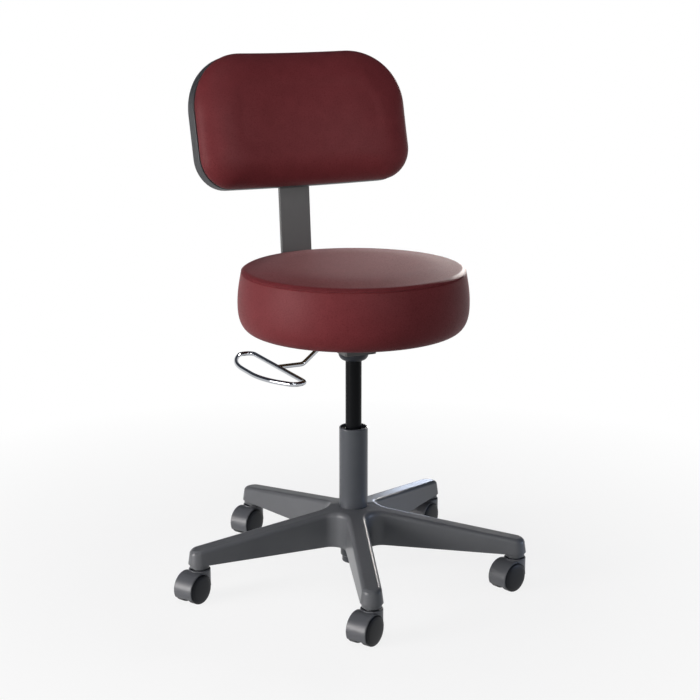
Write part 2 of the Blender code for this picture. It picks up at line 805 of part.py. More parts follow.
def valve_button():
    """The button on the end of the cylinder that lets the seat rise or sink while it is held down."""
    radius = BUTTON_DIAMETER / 2
    return turned(
        [
            (0, CYLINDER_TOP_Z - BUTTON_IN_VALVE),
            (radius, CYLINDER_TOP_Z - BUTTON_IN_VALVE),
            (radius, BUTTON_Z - BUTTON_CROWN),
            (radius / 2, BUTTON_Z - BUTTON_CROWN / 4),
            (0, BUTTON_Z),
        ],
        SMALL_STEPS,
    )


def cylinder_socket():
    """The tapered socket that the cylinder wedges into: a bowl under the bar and a neck through it."""
    bore = CYLINDER_DIAMETER / 2 + CLEARANCE
    bowl, neck = SOCKET_BOWL_DIAMETER / 2, SOCKET_NECK_DIAMETER / 2
    lip = bore + SOCKET_LIP
    top = BAR_Z + SOCKET_NECK_RISE
    bowl_top = SOCKET_Z + SOCKET_BOWL_HEIGHT
    flare = [
        (lip + (bowl - lip) * math.sin(t), bowl_top - SOCKET_BOWL_HEIGHT * math.cos(t))
        for t in quarter(BOWL_STEPS)
    ]
    return turned(
        [
            (bore, SOCKET_Z),
            *flare,
            (neck, bowl_top),
            (neck, top),
            (bore - (top - SOCKET_Z) * math.tan(TUBE_TAPER), top),
        ],
        ring=True,
    )


def on_back(s, h, n):
    """A point of the back support: s sideways along its curve, h up its face, n forward of its rim."""
    angle = s / BACK_CURVE_RADIUS
    x = (BACK_CURVE_RADIUS - n) * math.sin(angle)
    forward = BACK_CURVE_RADIUS - (BACK_CURVE_RADIUS - n) * math.cos(angle)
    y = BACK_BEHIND + h * math.sin(BACK_RECLINE) - forward * math.cos(BACK_RECLINE)
    return Vector((x, y, BACK_Z + h * math.cos(BACK_RECLINE) + forward * math.sin(BACK_RECLINE)))


def back_bolt_place(h, n):
    """A frame on the back support whose +Z runs forward out of its face."""
    return Matrix.Translation(on_back(0.0, h, n)) @ Matrix.Rotation(math.pi / 2 - BACK_RECLINE, 4, "X")


def bar_path():
    """The bar's centre line in the plane x = 0: under the seat, up behind it and along the back shell."""
    middle = BAR_Z + BAR_THICKNESS / 2
    shell_line = on_back(0.0, 0.0, BAR_FACE_N - BAR_THICKNESS / 2)
    lean, recline = math.tan(BAR_LEAN), math.tan(BACK_RECLINE)
    corner = Vector((0.0, BAR_BACK - (SEAT_TOP_Z - middle) * lean, middle))
    rise = (shell_line.y - recline * (shell_line.z - middle) - corner.y) / (lean - recline)
    knee = corner + Vector((0.0, rise * lean, rise))
    top = shell_line + (on_back(0.0, BAR_ON_SHELL, 0.0) - on_back(0.0, 0.0, 0.0))
    lower = filleted([(0.0, -BAR_FRONT, middle), corner, knee], BAR_BEND_RADIUS)
    upper = filleted([lower[-2], knee, top], BAR_UPPER_RADIUS, EDGE_STEPS)
    return lower[:-1] + upper[1:]


def bar_sections(path):
    """The bar's cross sections along the path, narrowing to rounded corners at both ends."""
    ends = [BAR_CORNER * (1 - math.cos(t)) for t in quarter(EDGE_STEPS)]
    first = [path[0].lerp(path[1], reach / (path[1] - path[0]).length) for reach in ends]
    last = [path[-1].lerp(path[-2], reach / (path[-2] - path[-1]).length) for reach in reversed(ends)]
    narrowing = [BAR_CORNER * (1 - math.sin(t)) for t in quarter(EDGE_STEPS)]
    places = first + path[1:-1] + last
    insets = narrowing + [0.0] * (len(path) - 2) + narrowing[::-1]
    deep = BAR_THICKNESS / 2
    for i, (place, inset) in enumerate(zip(places, insets)):
        along = (places[min(i + 1, len(places) - 1)] - places[max(i - 1, 0)]).normalized()
        normal = along.cross(Vector((1, 0, 0)))
        wide = BAR_WIDTH / 2 - inset
        corners = [(wide - BAR_EDGE, deep), (wide, deep - BAR_EDGE)]
        corners += [(x, -z) for x, z in reversed(corners)]
        corners += [(-x, z) for x, z in reversed(corners)]
        yield [place + Vector((x, 0, 0)) + normal * z for x, z in corners]


def back_bar():
    """The flat bar that carries the back support, drilled for the socket and its bolts."""
    bar = lofted(bar_sections(bar_path()))
    low, high = BAR_Z - OVERSHOOT, BAR_Z + BAR_THICKNESS + OVERSHOOT
    holes = [cylinder(SOCKET_NECK_DIAMETER / 2 + CLEARANCE, low, high)]
    holes += [moved(bolt_hole(low, high), Matrix.Translation((0, y, 0))) for y in BAR_BOLT_Y]
    deep = BAR_THICKNESS + OVERSHOOT
    holes += [moved(bolt_hole(-deep, OVERSHOOT), back_bolt_place(h, BAR_FACE_N)) for h in BACK_BOLT_H]
    return cut(bar, group(holes))


def seat_channel():
    """The pressed hat-section channel: its web on the bar, its flanges under the seat board."""
    side, wall = CHANNEL_WIDTH / 2, CHANNEL_WALL
    under = FLANGE_TOP_Z - wall
    far = side + CHANNEL_FLANGE
    right = [(side, CHANNEL_Z), (side, under), (far, under), (far, FLANGE_TOP_Z)]
    right += [(side - wall, FLANGE_TOP_Z), (side - wall, CHANNEL_Z + wall)]
    section = right + [(-x, z) for x, z in reversed(right)]
    channel = lofted([(x, y, z) for x, z in section] for y in (-CHANNEL_FRONT, CHANNEL_REAR))
    bm = bmesh.new()
    bm.from_mesh(channel.data)
    bends = [
        edge
        for edge in bm.edges
        if abs(edge.verts[0].co.y - edge.verts[1].co.y) > wall and abs(edge.verts[0].co.x) <= side + wall / 2
    ]
    bmesh.ops.bevel(bm, geom=bends, offset=CHANNEL_BEND, segments=2, profile=0.5, affect="EDGES")
    bm.to_mesh(channel.data)
    bm.free()
    low, high = CHANNEL_Z - OVERSHOOT, CHANNEL_Z + wall + OVERSHOOT
    holes = [cylinder(SOCKET_NECK_DIAMETER / 2 + CLEARANCE, low, high)]
    holes += [moved(bolt_hole(low, high), Matrix.Translation((0, y, 0))) for y in BAR_BOLT_Y]
    holes += [
        moved(bolt_hole(under - OVERSHOOT, FLANGE_TOP_Z + OVERSHOOT), Matrix.Translation((x, y, 0)))
        for x, y in channel_bolt_places()
    ]
    bush = cylinder(bush_radius() + CLEARANCE, -wall - CLEARANCE, wall + CLEARANCE, SMALL_STEPS)
    holes.append(moved(bush, lever_pivot()))
    return cut(channel, group(holes))


def channel_bolt_places():
    return [(x, y) for x in (-CHANNEL_BOLT_X, CHANNEL_BOLT_X) for y in CHANNEL_BOLT_Y]


def lever_pivot():
    """A frame in the middle of the channel's wall whose +Z runs out along -X."""
    return Matrix.Translation((PIVOT_X, 0, LEVER_Z)) @ Matrix.Rotation(-math.pi / 2, 4, "Y")


def bush_radius():
    return WIRE_DIAMETER / 2 + TURNING_GAP + BUSH_WALL


def lever_bush():
    """The nylon bush in the channel's wall on which the lever rocks: its hole is waisted in the middle."""
    half = CHANNEL_WALL / 2 + CLEARANCE
    far = half + BUSH_FLANGE_HEIGHT
    waist = WIRE_DIAMETER / 2 + TURNING_GAP
    mouth = waist + far * math.tan(LEVER_TILT)
    outer = bush_radius()
    section = [
        (waist, 0),
        (mouth, -far),
        (outer, -far),
        (outer, half),
        (outer + BUSH_FLANGE, half),
        (outer + BUSH_FLANGE, far),
        (mouth, far),
    ]
    return moved(turned(section, SMALL_STEPS, ring=True), lever_pivot())


def release_lever():
    """The wire lever: a cranked arm over the valve button and a D-shaped grip beside the seat."""
    arm_z = LEVER_Z - LEVER_DROP
    grip_z = arm_z - GRIP_WELD
    arm = [(LEVER_INNER_END, 0, LEVER_Z), (-LEVER_KNEE, 0, LEVER_Z)]
    arm += [(-LEVER_ELBOW, 0, arm_z), (-GRIP_BAR, 0, arm_z)]
    half = GRIP_LENGTH / 2
    radius = (half**2 + GRIP_BOW**2) / (2 * GRIP_BOW)
    spread = math.asin(half / radius)
    middle = -GRIP_BAR - GRIP_END - GRIP_BOW + radius
    bow = [spread * (1 - 2 * k / GRIP_ARC_STEPS) for k in range(GRIP_ARC_STEPS + 1)]
    corners = [(-GRIP_BAR, -half, grip_z), (-GRIP_BAR, half, grip_z)]
    corners += [(middle - radius * math.cos(t), radius * math.sin(t), grip_z) for t in bow]
    ends = filleted(corners[-2:] + corners[:3], WIRE_BEND)[:-1]
    ends += filleted([ends[-1]] + corners[2:4], WIRE_BEND)[1:]
    grip = ends[1:-1] + [Vector(corner) for corner in corners[3:-1]]
    return joined(wire(filleted(arm, WIRE_BEND)), wire(grip, loop=True))


def seat_board():
    """The plywood disc in the seat, drilled for the channel's bolts."""
    board = cylinder(BOARD_DIAMETER / 2, BOARD_Z, BOARD_Z + BOARD_THICKNESS, SEAT_STEPS)
    low, high = BOARD_Z - OVERSHOOT, BOARD_Z + BOARD_THICKNESS + OVERSHOOT
    places = [Matrix.Translation((x, y, 0)) for x, y in channel_bolt_places()]
    return cut(board, group(moved(bolt_hole(low, high), place) for place in places))


def seat_cushion():
    """The boxed seat: flat crowned top, rolled rim, sewn seam, barrelled side, hem under the board."""
    radius, board = SEAT_DIAMETER / 2, BOARD_DIAMETER / 2 + CLEARANCE
    waist = SEAT_BOTTOM_Z + SEAT_WAIST
    seam = SEAT_TOP_Z - SEAM_DROP
    seam_radius = radius - SEAT_TOP_TUCK
    flat = FLAT_TOP_DIAMETER / 2
    roll = seam_radius - RIM_ROLL
    pocket_top = BOARD_Z + BOARD_THICKNESS + CLEARANCE
    hem = SEAT_BOTTOM_Z + HEM_THICKNESS
    power = 2 / SEAT_ROUNDNESS
    under = [
        (
            radius - SEAT_UNDERCUT * (1 - math.sin(t) ** power),
            waist - (waist - SEAT_BOTTOM_Z) * math.cos(t) ** power,
        )
        for t in quarter(UNDER_STEPS)[:-1]
    ]
    rises = [k / BARREL_STEPS for k in range(BARREL_STEPS + 1)]
    side = [(radius - SEAT_TOP_TUCK * u * u, waist + (seam - SEAM_DEPTH - waist) * u) for u in rises]
    rim = [
        (roll + RIM_ROLL * math.cos(t), SEAT_TOP_Z - CROWN - RIM_ROLL * (1 - math.sin(t)))
        for t in quarter(RIM_STEPS)
    ]
    return turned(
        [
            (0, pocket_top),
            (board, pocket_top),
            (board, hem),
            (board - HEM_WIDTH, hem),
            (board - HEM_WIDTH, SEAT_BOTTOM_Z),
            *under,
            *side,
            (seam_radius - SEAM_DEPTH, seam - SEAM_DEPTH / 2),
            *rim,
            (flat, SEAT_TOP_Z),
            (0, SEAT_TOP_Z),
        ],
        SEAT_STEPS,
    )


def back_outline(inset):
    """The back support's outline as (s, h) points from the middle of one side, rounder at the top."""
    wide, high = BACK_WIDTH / 2 - inset, BACK_HEIGHT / 2 - inset
    top = max(min(BACK_TOP_CORNER - inset, wide, high), CLEARANCE)
    bottom = max(min(BACK_BOTTOM_CORNER - inset, wide, high), CLEARANCE)
    quarters = (
        (wide - top, high - top, top, 0.0, EDGE_SPANS),
        (top - wide, high - top, top, math.pi / 2, SIDE_SPANS),
        (bottom - wide, bottom - high, bottom, math.pi, EDGE_SPANS),
        (wide - bottom, bottom - high, bottom, -math.pi / 2, SIDE_SPANS),
    )
    corners = [
        [
            (s + radius * math.cos(start + turn), h + radius * math.sin(start + turn))
            for turn in quarter(CORNER_STEPS)
        ]
        for s, h, radius, start, _ in quarters
    ]
    outline = []
    for i, corner in enumerate(corners):
        outline += corner
        (s0, h0), (s1, h1) = corner[-1], corners[(i + 1) % 4][0]
        spans = quarters[i][4]
        outline += [(s0 + (s1 - s0) * k / spans, h0 + (h1 - h0) * k / spans) for k in range(1, spans)]
    start = len(outline) - SIDE_SPANS // 2
    return outline[start:] + outline[:start]


def back_loft(levels):
    """A skin over outlines of the back support, each at an (inset, n) level."""
    return lofted(([on_back(s, h, n) for s, h in back_outline(inset)] for inset, n in levels), rungs=True)


def back_shell():
    """The moulded back cover: a lipped tray with a domed back and two screw bosses inside."""
    core = BACK_HEIGHT / 2 - BACK_BOTTOM_CORNER / 2
    dome = [(1 - math.cos(t), math.sin(t)) for t in quarter(EDGE_STEPS)]
    outside = [(core, -SHELL_DOME)]
    outside += [(SHELL_SHOULDER * u, -SHELL_DOME * v) for u, v in reversed(dome)]
    outside += [(0.0, SHELL_LIP - SHELL_WALL / 2), (SHELL_WALL / 3, SHELL_LIP)]
    inside = [(SHELL_WALL, SHELL_LIP)]
    inside += [(SHELL_WALL + SHELL_SHOULDER * u, SHELL_WALL - SHELL_DOME * v) for u, v in dome]
    inside += [(core, SHELL_WALL - SHELL_DOME)]
    shell = back_loft(outside + inside)
    boss_end = BACK_BOARD_REAR - CLEARANCE
    boss_root = -SHELL_DOME + SHELL_WALL / 2
    radius = SHELL_BOSS_DIAMETER / 2
    bosses = group(
        moved(cylinder(radius, 0.0, boss_end - boss_root, SMALL_STEPS), back_bolt_place(h, boss_root))
        for h in BACK_BOLT_H
    )
    deep = SHELL_DOME + SHELL_LIP
    holes = group(moved(bolt_hole(-deep, deep), back_bolt_place(h, 0.0)) for h in BACK_BOLT_H)
    return cut(joined(shell, bosses), holes)


def board_insets():
    """The insets at which the board and the pad on it are drawn, from the core out to the lip."""
    edge = SHELL_WALL + CLEARANCE
    return [BACK_BOARD_CORE, (BACK_BOARD_CORE + edge) / 2, edge]


def back_board():
    """The stiff inner board of the back support, drilled for the back bolts."""
    rear, front = BACK_BOARD_REAR, BACK_BOARD_FRONT
    insets = board_insets()
    board = back_loft([(inset, rear) for inset in insets] + [(inset, front) for inset in reversed(insets)])
    deep = BACK_BOARD_THICKNESS + OVERSHOOT
    holes = group(moved(bolt_hole(-OVERSHOOT, deep), back_bolt_place(h, rear)) for h in BACK_BOLT_H)
    return cut(board, holes)


def back_pad():
    """The upholstered pad: tucked inside the lip, swelling over it to a pillowed, crowned face."""
    insets = board_insets()
    rear = BACK_BOARD_FRONT + CLEARANCE
    lip = SHELL_LIP + CLEARANCE
    levels = [(inset, rear) for inset in insets] + [(insets[-1], lip)]
    for t in quarter(PAD_STEPS):
        rise = SHELL_WALL + (PAD_RISE - SHELL_WALL) * math.sin(t)
        levels.append((PAD_OVERHANG + PAD_EDGE * (1 - math.cos(t)), lip + rise))
    middle = (PAD_EDGE + BACK_BOARD_CORE) / 2
    levels += [(middle, lip + PAD_RISE + PAD_CROWN / 2), (BACK_BOARD_CORE, lip + PAD_RISE + PAD_CROWN)]
    return back_loft(levels)


def empty(name, place, parent, turn=0.0):
    """A marker that carries what moves or stands together."""
    marker = bpy.data.objects.new(name, None)
    bpy.context.scene.collection.objects.link(marker)
    marker.parent = parent
    marker.location = place
    marker.rotation_euler = (0.0, 0.0, turn)
    return marker


def piece(name, mesh, finish, parent, place=(0, 0, 0), turn=(0, 0, 0)):
    """One named piece of the stool, with its mesh, finish and place under its parent."""
    mesh.materials.clear()
    mesh.materials.append(finish)
    shaded(mesh)
    body = bpy.data.objects.new(name, mesh)
    bpy.context.scene.collection.objects.link(body)
    body.parent = parent
    body.location = place
    body.rotation_euler = turn
    return body


def mesh_of(body, origin=(0, 0, 0)):
    """The body's mesh with the given point as its origin, leaving no body behind."""
    mesh = moved(body, Matrix.Translation(-Vector(origin))).data
    bpy.data.objects.remove(body)
    return mesh


def build_base(stool, nylon, steel, tube_paint):
    piece("base_star", mesh_of(base_star()), nylon["base"], stool)
    piece("column_tube", mesh_of(column_tube()), tube_paint, stool)
    piece("guide_bush", mesh_of(guide_bush()), nylon["bush"], stool)
    piece("thrust_bearing", mesh_of(thrust_bearing()), steel["bearing"], stool)


def build_casters(stool, nylon, steel):
    hood, wheel = mesh_of(caster_hood()), mesh_of(caster_wheel())
    stem, axle = mesh_of(caster_stem()), mesh_of(caster_axle())
    across = math.pi / 2
    for number, (angle, heading) in enumerate(zip(arm_angles(), CASTER_HEADINGS), start=1):
        x, y = turned_by(angle, PIVOT_RADIUS, 0.0)
        piece(f"caster_stem_{number}", stem, steel["stem"], stool, (x, y, 0))
        swivel = empty(f"caster_swivel_{number}", (x, y, 0), stool, heading)
        piece(f"caster_hood_{number}", hood, nylon["hood"], swivel)
        centre = (CASTER_TRAIL, 0, AXLE_Z)
        piece(f"caster_axle_{number}", axle, steel["axle"], swivel, centre, (across, 0, 0))
        piece(f"caster_wheel_{number}_right", wheel, nylon["wheel"], swivel, centre, (across, 0, 0))
        piece(f"caster_wheel_{number}_left", wheel, nylon["wheel"], swivel, centre, (-across, 0, 0))


def build_lift(stool, steel):
    piece("piston_rod", mesh_of(piston_rod()), steel["rod"], stool)
    piece("retaining_clip", mesh_of(retaining_clip()), steel["clip"], stool)
    piece("gas_cylinder", mesh_of(gas_cylinder()), steel["cylinder"], stool)
    piece("valve_button", mesh_of(valve_button()), steel["button"], stool)


def build_seat(stool, nylon, steel, soft):
    piece("cylinder_socket", mesh_of(cylinder_socket()), steel["socket"], stool)
    piece("seat_channel", mesh_of(seat_channel()), steel["channel"], stool)
    piece("lever_bush", mesh_of(lever_bush()), nylon["bush"], stool)
    pivot = (PIVOT_X, 0, LEVER_Z)
    piece("release_lever", mesh_of(release_lever(), pivot), steel["lever"], stool, pivot)
    piece("seat_board", mesh_of(seat_board()), soft["board"], stool)
    piece("seat_cushion", mesh_of(seat_cushion()), soft["vinyl"], stool)
    through_seat = mesh_of(hexagon_bolt(CLEARANCE + CHANNEL_WALL + CLEARANCE + BOARD_THICKNESS))
    head_z = FLANGE_TOP_Z - CHANNEL_WALL - CLEARANCE
    for number, (x, y) in enumerate(channel_bolt_places(), start=1):
        piece(f"channel_bolt_{number}", through_seat, steel["bolt"], stool, (x, y, head_z))
    through_bar = mesh_of(hexagon_bolt(CLEARANCE + BAR_THICKNESS + CLEARANCE + CHANNEL_WALL + BAR_BOLT_TAIL))
    for number, y in enumerate(BAR_BOLT_Y, start=1):
        piece(f"bar_bolt_{number}", through_bar, steel["bolt"], stool, (0, y, BAR_Z - CLEARANCE))


def build_back(stool, nylon, steel, soft):
    piece("back_bar", mesh_of(back_bar()), steel["bar"], stool)
    piece("back_shell", mesh_of(back_shell()), nylon["shell"], stool)
    piece("back_board", mesh_of(back_board()), soft["board"], stool)
    piece("back_pad", mesh_of(back_pad()), soft["vinyl"], stool)
    head_n = BAR_FACE_N - BAR_THICKNESS - CLEARANCE
    through_back = mesh_of(hexagon_bolt(BACK_BOARD_FRONT - head_n))
    for number, h in enumerate(BACK_BOLT_H, start=1):
        tilt = (math.pi / 2 - BACK_RECLINE, 0, 0)
        piece(f"back_bolt_{number}", through_back, steel["bolt"], stool, on_back(0.0, h, head_n), tilt)


def centre_on_floor(stool):
    """Moves the stool so that the middle of its bounding box stands over the origin."""
    bpy.context.view_layer.update()
    bodies = [body for body in bpy.data.objects if body.type == "MESH"]
    points = [body.matrix_world @ place for body in bodies for place in extremes(body)]
    low = [min(point[i] for point in points) for i in range(3)]
    high = [max(point[i] for point in points) for i in range(3)]
    stool.location = (-(low[0] + high[0]) / 2, -(low[1] + high[1]) / 2, -low[2])


def extremes(body):
    """The body's outermost points along the world's axes, in its own frame."""
    turn = body.matrix_world.to_3x3()
    for axis in turn.row:
        yield min((vert.co for vert in body.data.vertices), key=axis.dot)
        yield max((vert.co for vert in body.data.vertices), key=axis.dot)


for leftover in list(bpy.data.objects):
    bpy.data.objects.remove(leftover)

NYLON = {
    "base": material("base nylon", (0.055, 0.058, 0.062), 0.42),
    "hood": material("hood nylon", (0.050, 0.053, 0.058), 0.38),
    "wheel": material("wheel nylon", (0.018, 0.018, 0.020), 0.40),
    "bush": material("bush acetal", (0.020, 0.020, 0.021), 0.50),
    "shell": material("shell polypropylene", (0.048, 0.052, 0.056), 0.45),
}
STEEL = {
    "stem": material("zinc plated stem", (0.55, 0.55, 0.53), 0.35, 1.0),
    "axle": material("bright axle", (0.60, 0.60, 0.60), 0.30, 1.0),
    "bearing": material("bearing steel", (0.50, 0.50, 0.50), 0.30, 1.0),
    "rod": material("ground rod", (0.62, 0.62, 0.62), 0.20, 1.0),
    "clip": material("spring clip", (0.35, 0.35, 0.36), 0.40, 1.0),
    "cylinder": material("black painted cylinder", (0.010, 0.011, 0.012), 0.35),
    "button": material("valve button", (0.45, 0.45, 0.45), 0.35, 1.0),
    "socket": material("painted socket", (0.032, 0.034, 0.037), 0.45),
    "channel": material("painted channel", (0.030, 0.032, 0.035), 0.45),
    "lever": material("chromed wire", (0.80, 0.80, 0.80), 0.06, 1.0),
    "bolt": material("zinc plated bolt", (0.50, 0.50, 0.49), 0.38, 1.0),
    "bar": material("painted bar", (0.075, 0.075, 0.076), 0.48),
}
SOFT = {
    "vinyl": material("burgundy vinyl", (0.105, 0.022, 0.023), 0.42),
    "board": material("plywood", (0.42, 0.28, 0.16), 0.70),
}
TUBE_PAINT = material("grey tube paint", (0.062, 0.066, 0.072), 0.42)

STOOL = empty("stool", (0, 0, 0), None)
build_base(STOOL, NYLON, STEEL, TUBE_PAINT)
build_casters(STOOL, NYLON, STEEL)
build_lift(STOOL, STEEL)
build_seat(STOOL, NYLON, STEEL, SOFT)
build_back(STOOL, NYLON, STEEL, SOFT)
centre_on_floor(STOOL)
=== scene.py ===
import json
import math

import bmesh
import bpy
import numpy as np
from mathutils import Matrix, Vector

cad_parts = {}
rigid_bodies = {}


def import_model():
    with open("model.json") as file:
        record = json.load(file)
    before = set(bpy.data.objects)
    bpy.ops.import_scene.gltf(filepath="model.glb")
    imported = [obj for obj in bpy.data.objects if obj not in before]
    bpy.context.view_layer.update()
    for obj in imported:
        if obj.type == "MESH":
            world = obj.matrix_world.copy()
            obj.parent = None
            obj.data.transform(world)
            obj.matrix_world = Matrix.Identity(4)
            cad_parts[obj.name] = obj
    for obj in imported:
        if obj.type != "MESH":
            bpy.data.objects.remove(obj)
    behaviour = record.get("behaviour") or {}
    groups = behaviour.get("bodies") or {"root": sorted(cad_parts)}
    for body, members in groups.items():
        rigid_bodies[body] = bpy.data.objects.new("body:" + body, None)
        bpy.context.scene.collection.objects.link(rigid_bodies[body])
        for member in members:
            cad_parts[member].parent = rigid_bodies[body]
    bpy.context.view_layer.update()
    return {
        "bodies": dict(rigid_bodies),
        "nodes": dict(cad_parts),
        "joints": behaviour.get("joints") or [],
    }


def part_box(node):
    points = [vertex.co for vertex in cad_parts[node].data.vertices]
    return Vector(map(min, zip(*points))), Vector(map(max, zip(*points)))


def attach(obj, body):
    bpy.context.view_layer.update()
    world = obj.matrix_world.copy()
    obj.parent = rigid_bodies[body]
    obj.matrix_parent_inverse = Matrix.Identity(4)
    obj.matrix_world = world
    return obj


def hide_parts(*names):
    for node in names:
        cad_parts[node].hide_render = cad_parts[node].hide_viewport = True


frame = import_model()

# Studio. A pale floor and a white cove in a dim room, with broad soft lamps in front, above and on the
# lever's side, and narrow ones that catch the back, the rims and the star's edges. A long lens at standing
# height looks from the lever's side.

joints = {joint["name"]: joint for joint in frame["joints"]}
column = np.array(joints["seat_swivel"]["pos_m"]) * (1, 1, 0)

for leftover in set(bpy.data.objects) - {*frame["bodies"].values(), *frame["nodes"].values()}:
    bpy.data.objects.remove(leftover)


def linear(code):
    """A colour written as sRGB hex, as the linear RGBA that shaders take."""
    srgb = np.array([int(code[k : k + 2], 16) for k in (0, 2, 4)]) / 255
    light = np.where(srgb < 0.04045, srgb / 12.92, ((srgb + 0.055) / 1.055) ** 2.4)
    return (*light.tolist(), 1.0)


def add(tree, kind, settings=None, links=None):
    """Adds one node: settings go to its properties or sockets by name, links join outputs to sockets."""
    node = tree.nodes.new("ShaderNode" + kind)
    for name, value in (settings or {}).items():
        if hasattr(node, str(name)):
            setattr(node, name, value)
        else:
            node.inputs[name].default_value = value
    for name, source in (links or {}).items():
        tree.links.new(source, node.inputs[name])
    return node


def shown(tree):
    """1 for rays that show a surface to the eye, straight, mirrored or through glass, and 0 for others."""
    path = add(tree, "LightPath").outputs
    bounced = {0: path["Is Glossy Ray"], 1: path["Is Transmission Ray"]}
    mirrored = add(tree, "Math", {"operation": "MAXIMUM"}, bounced)
    eye = {0: path["Is Camera Ray"], 1: mirrored.outputs[0]}
    return add(tree, "Math", {"operation": "MAXIMUM"}, eye).outputs[0]


COVE_WHITE = 0.07
COVE_END = 0.17

room = bpy.data.worlds.new("dim room")
bpy.context.scene.world = room
room.use_nodes = True
tree = room.node_tree
heading = add(tree, "TexCoord").outputs["Generated"]
height = add(tree, "SeparateXYZ", links={0: heading}).outputs["Z"]
# A white cove stands to about 4 degrees above the floor's far edge and fades into a dim room by 10.
rising = {"From Min": COVE_WHITE, "From Max": COVE_END, "To Min": 1.0, "To Max": 0.0}
cove = add(tree, "MapRange", rising, {"Value": height})
pale = add(tree, "Math", {"operation": "MULTIPLY"}, {0: cove.outputs[0], 1: shown(tree)})
pair = {"data_type": "RGBA", 6: linear("464A52"), 7: linear("FFFFFF")}
walls = add(tree, "Mix", pair, {0: pale.outputs[0]})
tree.links.new(walls.outputs[2], tree.nodes["Background"].inputs["Color"])

FLOOR_HALF = 80.0
FLOOR_GLOW = 0.84
SHADOW_NEAR = 0.4
SHADOW_FAR = 1.2

lino = bpy.data.materials.new("pale matt floor")
lino.use_nodes = True
tree = lino.node_tree
tree.nodes.clear()
matt = add(tree, "BsdfDiffuse", {"Color": linear("F4F4F4")})
dull = add(tree, "BsdfDiffuse", {"Color": linear("585858")})
glow = add(tree, "Emission", {"Color": linear("FFFFFF"), "Strength": 1.0})
# The floor takes shadow round the stool, fades to plain white away from it and throws little light back.
away = add(tree, "VectorMath", {"operation": "LENGTH"}, {0: add(tree, "TexCoord").outputs["Object"]})
fade = {"From Min": SHADOW_NEAR, "From Max": SHADOW_FAR, "To Min": FLOOR_GLOW, "To Max": 1.0}
whiter = add(tree, "MapRange", fade, {"Value": away.outputs["Value"]})
seen = add(tree, "MixShader", links={0: whiter.outputs[0], 1: matt.outputs[0], 2: glow.outputs[0]})
floor_mix = add(tree, "MixShader", links={0: shown(tree), 1: dull.outputs[0], 2: seen.outputs[0]})
add(tree, "OutputMaterial", links={"Surface": floor_mix.outputs[0]})

floor_mesh = bpy.data.meshes.new("floor")
floor_corners = [(-1, -1, 0), (1, -1, 0), (1, 1, 0), (-1, 1, 0)]
floor_mesh.from_pydata((np.array(floor_corners) * FLOOR_HALF).tolist(), [], [(0, 1, 2, 3)])
floor_mesh.materials.append(lino)
floor = bpy.data.objects.new("floor", floor_mesh)
bpy.context.scene.collection.objects.link(floor)


def soft_lamp(name, turn, far, height, aim, size, watts, colour="FFFFFF", spread=180):
    """A square lamp at a turn in degrees about the column from straight in front, aimed at a height on it.

    It stands far from the column, and its spread in degrees is how widely each point of its face shines.
    """
    light = bpy.data.lights.new(f"{name} lamp", "AREA")
    light.size = size
    light.energy = watts
    light.color = linear(colour)[:3]
    light.spread = math.radians(spread)
    lamp = bpy.data.objects.new(light.name, light)
    lamp.visible_camera = False
    bearing = math.radians(turn)
    lamp.location = column + (far * math.sin(bearing), -far * math.cos(bearing), height)
    facing = Vector(column + (0, 0, aim)) - lamp.location
    lamp.rotation_euler = facing.to_track_quat("-Z", "Y").to_euler()
    bpy.context.scene.collection.objects.link(lamp)


soft_lamp("key", -90, far=2.3, height=0.6, aim=0.3, size=1.3, watts=7.5, colour="FFFBFA", spread=50)
soft_lamp("front", -22, far=3.2, height=1.9, aim=0.45, size=1.6, watts=27)
soft_lamp("back", 6, far=2.6, height=1.2, aim=0.85, size=0.4, watts=0.35, spread=20)
soft_lamp("rim", 134, far=1.4, height=0.82, aim=0.46, size=0.4, watts=0.7, colour="FFFAF6", spread=20)
soft_lamp("top", -60, far=0.6, height=2.6, aim=0.5, size=0.5, watts=5)
soft_lamp("edge", 145, far=1.6, height=0.17, aim=0.09, size=0.2, watts=0.025, colour="DCE8FF", spread=24)
soft_lamp("side", 62, far=2.2, height=0.25, aim=0.06, size=0.4, watts=0.16, colour="C4D8FF", spread=16)

EYE = (-1.1946, -2.4001, 1.0776)
EYE_TILT = math.radians(76.137)
EYE_TURN = math.radians(-26.327)
SENSOR_MM = 36.0
LENS_MM = 80.98

lens = bpy.data.cameras.new("camera")
lens.sensor_width, lens.lens = SENSOR_MM, LENS_MM
camera = bpy.data.objects.new("camera", lens)
camera.location = column + EYE
camera.rotation_euler = (EYE_TILT, 0, EYE_TURN)
bpy.context.scene.collection.objects.link(camera)
bpy.context.scene.camera = camera
bpy.context.scene.view_settings.view_transform = "Standard"

# Base star. One moulding of glass-filled nylon: arms that fall from a tall hub to round tips, hollow and
# cross-ribbed underneath, with a boss under each tip that the caster stem is driven into.

ARM_WIDTH = 0.039
ARM_DRAFT = 0.0025
ARM_EDGE = 0.008
ARM_TIP_HEIGHT = 0.0245
HUB_HEIGHT = 0.065
HUB_FILLET = 0.026
BASE_WALL = 0.0035
BASE_ROOF = 0.0045
RIB_COUNT = 3
RIB_THICKNESS = 0.003
BOSS_RADIUS = 0.017
BOSS_EDGE = 0.001
STEM_RADIUS = 0.0055
TUBE_RADIUS = 0.0255
HUB_LIP = 0.0012
BORE_TAPER = 0.025
CLEARANCE = 0.0003


def heights(node):
    """The lowest and the highest z of a CAD node."""
    return (corner.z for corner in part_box(node))


